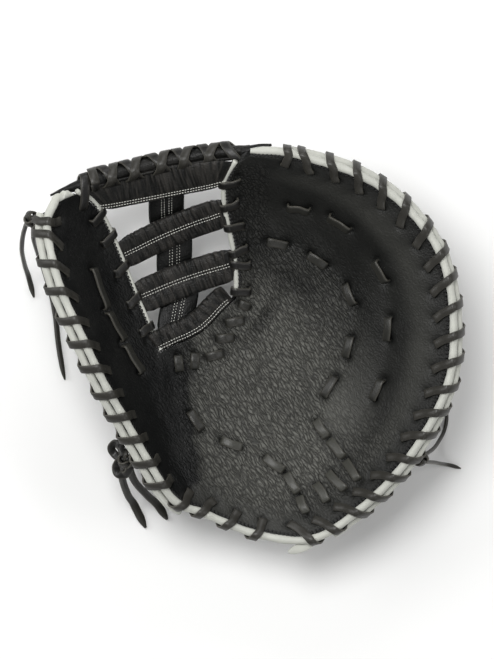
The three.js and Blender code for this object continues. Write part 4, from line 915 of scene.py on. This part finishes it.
# Web. Four padded cross bars of the same hide, each a folded strip sewn with two rows of
# white thread, over one upright post. The top bar's upper edge is rolled.
BAR_THICKNESS, BAR_END_THICKNESS = 6.5, 3
BAR_COLUMNS = ("node", "thumb", "finger", "sag", "bow", "width", "post", "seam")
BARS = [dict(zip(BAR_COLUMNS, row)) for row in (
    ("web_top_bar", 23.1, 0.66, 0.095, 0.0, 0.072, 0.54, -0.62),
    ("web_bar_upper", 20.55, 2.3, 0.07, 0.010, 0.084, 0.48, 0.0),
    ("web_bar_lower", 18.85, 4.25, 0.05, 0.007, 0.088, 0.42, 0.05),
    ("web_bar_bottom", 15.7, 6.4, 0.0, 0.0, 0.055, 0.36, -0.62),
)]
BAR_STEPS = 260
web_cowhide = cowhide("full_grain_cowhide_web", "#0a0b0a", "#302e2b", 0.46, 1.4, 0.8, 0.01)

bar_shares = np.linspace(0, 1, BAR_STEPS + 1)
for bar in BARS:
    if bar["node"] == "web_bar_bottom":
        u = bar["thumb"] + (bar["finger"] - bar["thumb"]) * bar_shares
        half = bar["width"] * MITT_LENGTH / 2
        bar["line"] = edge_place("web", u, CLEARANCE + half, PALM_ROLL_UP)
        bar["climb"] = edge_frame("web", u)[1]
    else:
        start, end = (edge_place("web", bar[k], PIPING_OUT + 1.2, PALM_ROLL_UP) for k in ("thumb", "finger"))
        bulge = 4 * bar_shares * (1 - bar_shares)
        line = start + (end - start) * bar_shares[:, None]
        line[:, 1] += bar["bow"] * MITT_LENGTH * bulge
        line[:, 2] -= bar["sag"] * MITT_HEIGHT * bulge
        bar["line"] = line
for i, bar in enumerate(BARS):
    higher, lower = BARS[max(i - 1, 0)]["line"], BARS[min(i + 1, len(BARS) - 1)]["line"]
    along = unit(np.gradient(bar["line"], axis=0))
    climb = bar.get("climb", higher - lower)
    bar["side"] = unit(climb - np.sum(climb * along, -1, keepdims=True) * along)
    up = np.cross(along, bar["side"])
    bar["up"] = np.where(up[:, 2:] < 0, -up, up)
    bar["along"] = along
    bar["half"] = bar["width"] * MITT_LENGTH / 2
    full = ease(np.minimum(bar_shares, 1 - bar_shares) / 0.16)
    bar["thick"] = (BAR_END_THICKNESS + (BAR_THICKNESS - BAR_END_THICKNESS) * full) / 2


def bar_height(bar, a):
    """Half thickness across a bar: puffed at both edges and drawn in along its seam."""
    return (1 - np.abs(a) ** 5) ** 0.5 * (1 - 0.38 * hump(a - bar["seam"], 0.20))


ROLL_POINTS = np.array([
    (-139.0, 141.5, 100), (-124.3, 146.4, 97), (-115.3, 149.6, 94), (-100.8, 153.3, 90.5), (-85.6, 157.3, 88),
    (-67.4, 161.7, 86.5), (-52.2, 164.6, 86.5), (-35.5, 167.1, 88), (-18.9, 168.8, 90), (-3.6, 169.8, 91.5)])
BAR_SIDES = 40
roll_line = smooth_path(ROLL_POINTS, 12)
top_bar = BARS[0]
nearest = np.argmin(np.linalg.norm(top_bar["line"][:, None, :2] - roll_line[None, :, :2], axis=-1), 1)
under_roll = np.sum((roll_line[nearest] - top_bar["line"]) * top_bar["side"], -1) - top_bar["half"] - 1.0
turns = np.linspace(0, 2 * np.pi, BAR_SIDES, endpoint=False)
for i, bar in enumerate(BARS):
    a = np.sign(np.cos(turns)) * np.abs(np.cos(turns)) ** 0.8
    b = np.sign(np.sin(turns)) * bar_height(bar, np.clip(np.abs(a), 0, 1) * np.sign(a))
    b = np.where(np.abs(np.sin(turns)) < 1e-6, 0, b)
    run = run_along(bar["line"])
    pleats = soft_noise(run[:, None] / 1.5 + 9 * i + 0.6 * a[None], a[None] * 1.1 + 3, 71) - 0.5
    pleats += 0.7 * (soft_noise(run[:, None] / 0.85, a[None] * 1.8, 72) - 0.5)
    taper = 1 - 0.12 * hump(np.minimum(bar_shares, 1 - bar_shares), 0.05)
    wide = a[None] * (bar["half"] * taper)[:, None] + 0.3 * pleats * (np.abs(a) > 0.8)
    high = b[None] * bar["thick"][:, None]
    if bar is top_bar:
        wide = wide + np.maximum(a[None], 0) ** 2 * under_roll[:, None]
        high = high * (1 - 0.55 * np.maximum(a[None], 0) ** 4)
    high = high + 0.85 * pleats * np.sign(b)[None] * (1 - 0.6 * hump(a - bar["seam"], 0.12))[None]
    off = bar["side"][:, None] * wide[..., None] + bar["up"][:, None] * high[..., None]
    rings = bar["line"][:, None] + off
    if "climb" not in bar:
        for end, away in ((0, bar_shares), (-1, 1 - bar_shares)):
            out, along = edge_frame("web", bar["finger" if end else "thumb"])[1], bar["along"][end]
            slide = -(off @ out) / (along @ out) * (np.clip(1 - away / 0.3, 0, 1) ** 2)[:, None]
            rings = rings + along * slide[..., None]
    # The bars' colour follows their pleats: darker in the furrows as painted shade, and paler on the ridges
    strip = new_piece(bar["node"] + "_strap", rings.reshape(-1, 3), ring_faces(BAR_STEPS + 1, BAR_SIDES),
                      web_cowhide, "shell_leather", (bar["node"],),
                      worn=np.clip(0.3 + 1.1 * pleats * np.sign(b)[None], 0, 1))

# Post. A flat upright strap of the same hide that runs behind the bars' middles and is
# sewn to each of them.
POST_WIDTH, POST_THICKNESS = 26, 4
post_line, post_sides = [], []
drop = BAR_THICKNESS / 2 + POST_THICKNESS / 2 + 4 * CLEARANCE
for bar in BARS:
    middle = round(bar["post"] * BAR_STEPS)
    for share in (0.55, -0.55):
        post_line.append(bar["line"][middle] - bar["up"][middle] * drop + bar["side"][middle] * share * bar["half"])
        post_sides.append(bar["along"][middle])
post_line, post_sides = smooth_path(post_line, 10), unit(smooth_path(post_sides, 10))
points_made, faces_made, _ = ribbon(post_line, post_sides, POST_WIDTH, POST_THICKNESS)
new_piece("web_post_strap", points_made, faces_made, web_cowhide, "shell_leather", ("web_post",), worn=0)

# Thread. Waxed white polyester, sewn in pairs of rows along the bars and the post. Each
# stitch is a short rounded dash that sits a little into the leather.
STITCH_LENGTH, STITCH_GAP, THREAD_RADIUS, ROW_GAP = 1.35, 0.75, 0.27, 2.2


def thread_material(name, colour, roughness):
    material = new_material(name)
    tree = material.node_tree
    place = node(tree, "TexCoord").outputs["Object"]
    twist = node(tree, "TexNoise", inputs={"Scale": 1 / (0.5 * MM), "Detail": 2}, links={"Vector": place})
    bump = node(tree, "Bump", inputs={"Strength": 0.4, "Distance": 0.1 * MM},
                links={"Height": twist.outputs["Fac"]})
    close_material(tree, node(tree, "BsdfPrincipled", links={"Normal": bump.outputs["Normal"]},
                              inputs={"Base Color": linear(colour), "Roughness": roughness}))
    return material


def dashes(starts, ends, radius, sides=6):
    """Rounded dashes between pairs of points, as one mesh."""
    starts, ends = np.asarray(starts), np.asarray(ends)
    along = unit(ends - starts)
    side = unit(np.cross(along, (0.21, 0.13, 0.97)))
    up = np.cross(along, side)
    turns = np.linspace(0, 2 * np.pi, sides, endpoint=False)
    ring = side[:, None] * np.cos(turns)[None, :, None] + up[:, None] * np.sin(turns)[None, :, None]
    rings = []
    for share, size in ((0.0, 0.35), (0.15, 1.0), (0.85, 1.0), (1.0, 0.35)):
        rings.append(starts[:, None] + (ends - starts)[:, None] * share + ring * radius * size)
    points = np.stack(rings, 1).reshape(-1, 3)
    one = ring_faces(4, sides)
    faces = [[k + 4 * sides * i for k in face] for i in range(len(starts)) for face in one]
    return points, faces


def sewn_row(line, lift, length=STITCH_LENGTH, gap=STITCH_GAP):
    """Ends of the stitches along a line, lifted onto the leather."""
    run = run_along(line)
    firsts = np.arange(0.5, run[-1] - length, length + gap)
    at = lambda s: np.stack([np.interp(s, run, (line + lift)[:, k]) for k in range(3)], -1)
    return at(firsts), at(firsts + length)


white_thread = thread_material("waxed_white_polyester_thread", "#d8d8d0", 0.55)
PROUD = 0.38
POST_ROWS = (-3.9, -1.8, 1.8, 3.9)
rows = []
unlaced = slice(4, -4)
for bar in BARS:
    for offset in (-ROW_GAP / 2, ROW_GAP / 2):
        a = bar["seam"] + offset / bar["half"]
        height = bar["thick"] * bar_height(bar, a)
        line = bar["line"] + bar["side"] * (a * bar["half"])
        rows.append(sewn_row(line[unlaced], (bar["up"] * (height + PROUD)[:, None])[unlaced]))
post_up = unit(np.cross(np.gradient(post_line, axis=0), post_sides))
post_up = np.where(post_up[:, 2:] < 0, -post_up, post_up)
for across in POST_ROWS:
    rows.append(sewn_row(post_line + post_sides * across, post_up * (POST_THICKNESS / 2 + 0.3), 0.9, 1.3))
points_made, faces_made = dashes(*map(np.vstack, zip(*rows)), THREAD_RADIUS)
new_piece("web_stitching", points_made, faces_made, white_thread, "lace_leather")

# Overlock. Black polyester thread zigzags over the inner side of the binding and the
# piping, and sews them to the palm's edge. It is drawn thicker than the real thread.
ZIGZAG_STEP, ZIGZAG_REACH, ZIGZAG_RADIUS = 1.5, 1.3, 0.42
black_thread = thread_material("waxed_black_polyester_thread", "#101010", 0.5)


def zigzag(kind, start, end, first_inset):
    """Ends of the thread's stitches, from the leather to the binding and back."""
    us_line = np.linspace(start, end, 1200)
    run = run_along(edge_frame(kind, us_line)[0])
    u = np.interp(np.arange(0, run[-1], ZIGZAG_STEP), run, us_line)
    inside = np.arange(len(u)) % 2 == 0
    share = first_inset / np.linalg.norm(palm_point(u, 1.0) - palm_point(u, 0.0), axis=-1)
    v = 1 - share if kind == "rim" else share
    on_binding = edge_place(kind, u, ZIGZAG_REACH, 0.55)
    spots = np.where(inside[:, None], palm_point(u, v) + palm_normal(u, v) * 0.45, on_binding)
    return spots[:-1], spots[1:]


rows = [zigzag("rim", 0.1, LAST - 0.1, 1.8), zigzag("web", 0.2, 5.6, 1.5), zigzag("web", 16.4, LAST - 0.2, 1.5)]
points_made, faces_made = dashes(*map(np.vstack, zip(*rows)), ZIGZAG_RADIUS, 5)
new_piece("edge_overlock", points_made, faces_made, black_thread, "lace_leather")

# Top roll. The top bar's upper edge is a sheet rolled on itself, open at the thumb end,
# bound by a lace crossed over it, and tied to both lobes.
ROLL_RADIUS = 6.5
roll_side = np.tile((0.2, 1.0, 0.25), (len(roll_line), 1))
roll_along = unit(np.gradient(roll_line, axis=0))
roll_side = unit(roll_side - np.sum(roll_side * roll_along, -1, keepdims=True) * roll_along)
roll_up = np.cross(roll_along, roll_side)
roll_up = np.where(roll_up[:, 2:] < 0, -roll_up, roll_up)
place_along = np.linspace(0, 1, len(roll_line))
roll_size = ROLL_RADIUS * (1.0 + 0.10 * hump(place_along - 0.16, 0.12) - 0.12 * hump(place_along - 1, 0.1))
SPIRAL_TURNS, SHEET = 1.35, 1.9
angles = np.linspace(0, 2 * np.pi * SPIRAL_TURNS, 44) + 2.2
shrink = 1 - 0.36 * (angles - angles[0]) / (2 * np.pi)
coil = np.stack([np.cos(angles), np.sin(angles)], -1)
outline = np.concatenate([coil * shrink[:, None], (coil * (shrink - SHEET / ROLL_RADIUS)[:, None])[::-1]])
first = int(0.12 * len(roll_line))
lumps = soft_noise(place_along[:, None] * 40, np.arange(len(outline))[None] / 7, 82) - 0.5
size = (roll_size[:, None] * (1 + 0.07 * lumps))[..., None]
rings = (roll_line[:, None] + roll_side[:, None] * (outline[None, :, :1] * size)
         + roll_up[:, None] * (outline[None, :, 1:] * size))[first:]
slope = 5.0 * np.clip(1 - (place_along[first:] - place_along[first]) / 0.12, 0, 1) ** 2
rings = rings + roll_along[first:, None] * (slope[:, None] * outline[None, :, 1])[..., None]

# The sheet's two ends, pulled thin: a tongue on the thumb side and a flap on the finger side
TONGUE_POINTS = [(-148.5, 137.5, 93), (-142, 140.2, 93.5), (-134, 142.6, 94), (-126, 144.8, 95),
                 (-118, 147.6, 94.5), (-108, 151.2, 92.5)]
FLAP_POINTS = [(-10, 168.8, 91), (-3.6, 170.6, 92.5), (4, 172.8, 95.5), (12, 174.0, 98.5)]


def thin_end(points, i, radii):
    """A round end of the sheet along points, turned as the roll is at its place i."""
    line = smooth_path(points, 8)
    sides, ups = (np.tile(rows[i], (len(line), 1)) for rows in (roll_side, roll_up))
    end = tube(line, sides, ups, radii(np.linspace(0, 1, len(line))), 16)
    return end, ring_faces(len(line), 16), np.zeros(len(end))


points_made, faces_made, worn = joined([
    thin_end(FLAP_POINTS, -1, lambda share: 4.6 + (0.9 - 4.6) * share),
    (rings.reshape(-1, 3), ring_faces(len(rings), len(outline)),
     0.4 * soft_noise(rings[..., 0] / 10, rings[..., 1] / 10, 81).ravel()),
    thin_end(TONGUE_POINTS, 0, lambda share: 0.8 + 4.4 * ease(share * 1.3))])
new_piece("web_top_rolled_edge", points_made, faces_made, web_cowhide, "shell_leather", ("web_top_roll",), worn=worn)

# Top lacing. One waxed lace spirals along the roll and back again, and its two ways cross
# on the face, where the second rides over the first.
TOP_LACE_WIDTH, CROSSINGS = 6.6, 5.5
crossed = []
for way in (1, -1):
    t = np.linspace(0.17, 0.86, 260)
    turn = way * 2 * np.pi * CROSSINGS * (t - t[0]) / (t[-1] - t[0]) + np.pi / 2
    at = lambda values: np.stack([np.interp(t, place_along, values[:, k]) for k in range(3)], -1)
    radius = np.interp(t, place_along, roll_size) + 0.9
    if way < 0:
        radius = radius + 1.6 * np.sin(turn) ** 8
    line = (at(roll_line) + at(roll_side) * (radius * np.cos(turn))[:, None]
            + at(roll_up) * (radius * np.sin(turn))[:, None])
    crossed.append(ribbon(line, at(roll_along), TOP_LACE_WIDTH, LACE_THICKNESS))
lace("web_top_lacing", crossed, ("web_top_lace",))

# Ties. At each end of the roll a short lace is looped round it and through the lobe
# beside it, which holds the web up between the finger and the thumb.
TIE_POINTS = 40


def tie(name, share, stands_for, lean, reach, radius):
    """A ring of lace round the roll, drawn out over the edge beside it by reach."""
    i = int(share * (len(roll_line) - 1))
    turn = np.linspace(0, 2 * np.pi, TIE_POINTS, endpoint=False)
    long = radius + reach / 2
    line = (roll_line[i] + (np.cos(turn) * long - reach / 2)[:, None] * roll_side[i]
            + np.sin(turn)[:, None] * roll_up[i] * radius + roll_along[i] * (lean * np.cos(turn))[:, None])
    sides = np.tile(roll_along[i], (TIE_POINTS, 1))
    lace(name, [ribbon(line, sides, TOP_LACE_WIDTH, LACE_THICKNESS, True)], (stands_for,))


tie("thumb_roll_tie", 0.10, "thumb_top_tie", 4.0, 13.0, 6.4)
tie("finger_roll_tie", 0.93, "finger_top_tie", -8.0, 6.0, ROLL_RADIUS + 1.0)

# Knots. Where a lace ends, it is wound over and under itself and pulled tight. Each has
# its centre, its half sizes and its turn in plan.
KNOT_WIDTH, KNOT_POINTS, CORE_STEPS, CORE_SIDES = 4.4, 150, 13, 14
KNOTS = {
    "thumb_tip_knot": ((-161.9, 120, 106), (6.4, 5.4, 5.2), 80),
    "thumb_heel_knot": ((-93.4, -54.3, 68.8), (8.5, 6.5, 6.0), 60),
    "little_finger_knot": ((120.3, -54.2, 77), (6.6, 5.2, 4.8), 20),
}
# The thumb heel's knot is a bow: two loops of the flat lace stand out from it
BOWS = {"thumb_heel_knot": [
    [(-95.5, -51.5, 71), (-98.5, -45.0, 70), (-102.5, -43.0, 67), (-105.0, -46.5, 64), (-102.5, -51.0, 63),
     (-98.5, -53.5, 66)],
    [(-92.5, -56.5, 70), (-91.5, -61.5, 68), (-95.0, -66.0, 64), (-100.5, -65.0, 61), (-101.5, -59.5, 61),
     (-98.0, -55.0, 65)],
]}
for name, (centre, size, angle) in KNOTS.items():
    t = np.linspace(0, 2 * np.pi, KNOT_POINTS, endpoint=False)
    swing = 0.62 + 0.3 * np.cos(3 * t)
    knot = np.stack([swing * np.cos(2 * t) * 1.05, swing * np.sin(2 * t) * 1.05, 0.62 * np.sin(3 * t)], -1)
    knot = knot * (np.array(size) - LACE_CLEAR)
    a = math.radians(angle)
    turned = knot @ np.array([(math.cos(a), math.sin(a), 0), (-math.sin(a), math.cos(a), 0), (0, 0, 1)])
    out = unit(turned)
    sides = np.cross(unit(np.gradient(turned, axis=0)), out)
    made = [ribbon(turned + centre, sides, KNOT_WIDTH, LACE_THICKNESS, True)]
    falls = np.linspace(-1, 1, CORE_STEPS)[:, None]
    inner = np.array(size) * 0.56
    core_line = np.array(centre) + falls * (0, 0, inner[2])
    core_size = inner[0] * np.sqrt(np.maximum(1 - falls[:, 0] ** 2, 0.02))
    core_outs, core_ups = (np.tile(way, (CORE_STEPS, 1)) for way in ((1.0, 0, 0), (0, inner[1] / inner[0], 0)))
    core = tube(core_line, core_outs, core_ups, core_size, CORE_SIDES)
    made.append((core, ring_faces(CORE_STEPS, CORE_SIDES), np.zeros(len(core))))
    for bow in BOWS.get(name, ()):
        line = smooth_path(bow + bow[:1], 10)[:-1]
        sides = np.cross((0.35, -0.25, 1.0), np.roll(line, -1, 0) - np.roll(line, 1, 0))
        made.append(ribbon(line, sides, LACE_WIDTH, LACE_THICKNESS, True))
    lace(name + "_lace", made, (name,))
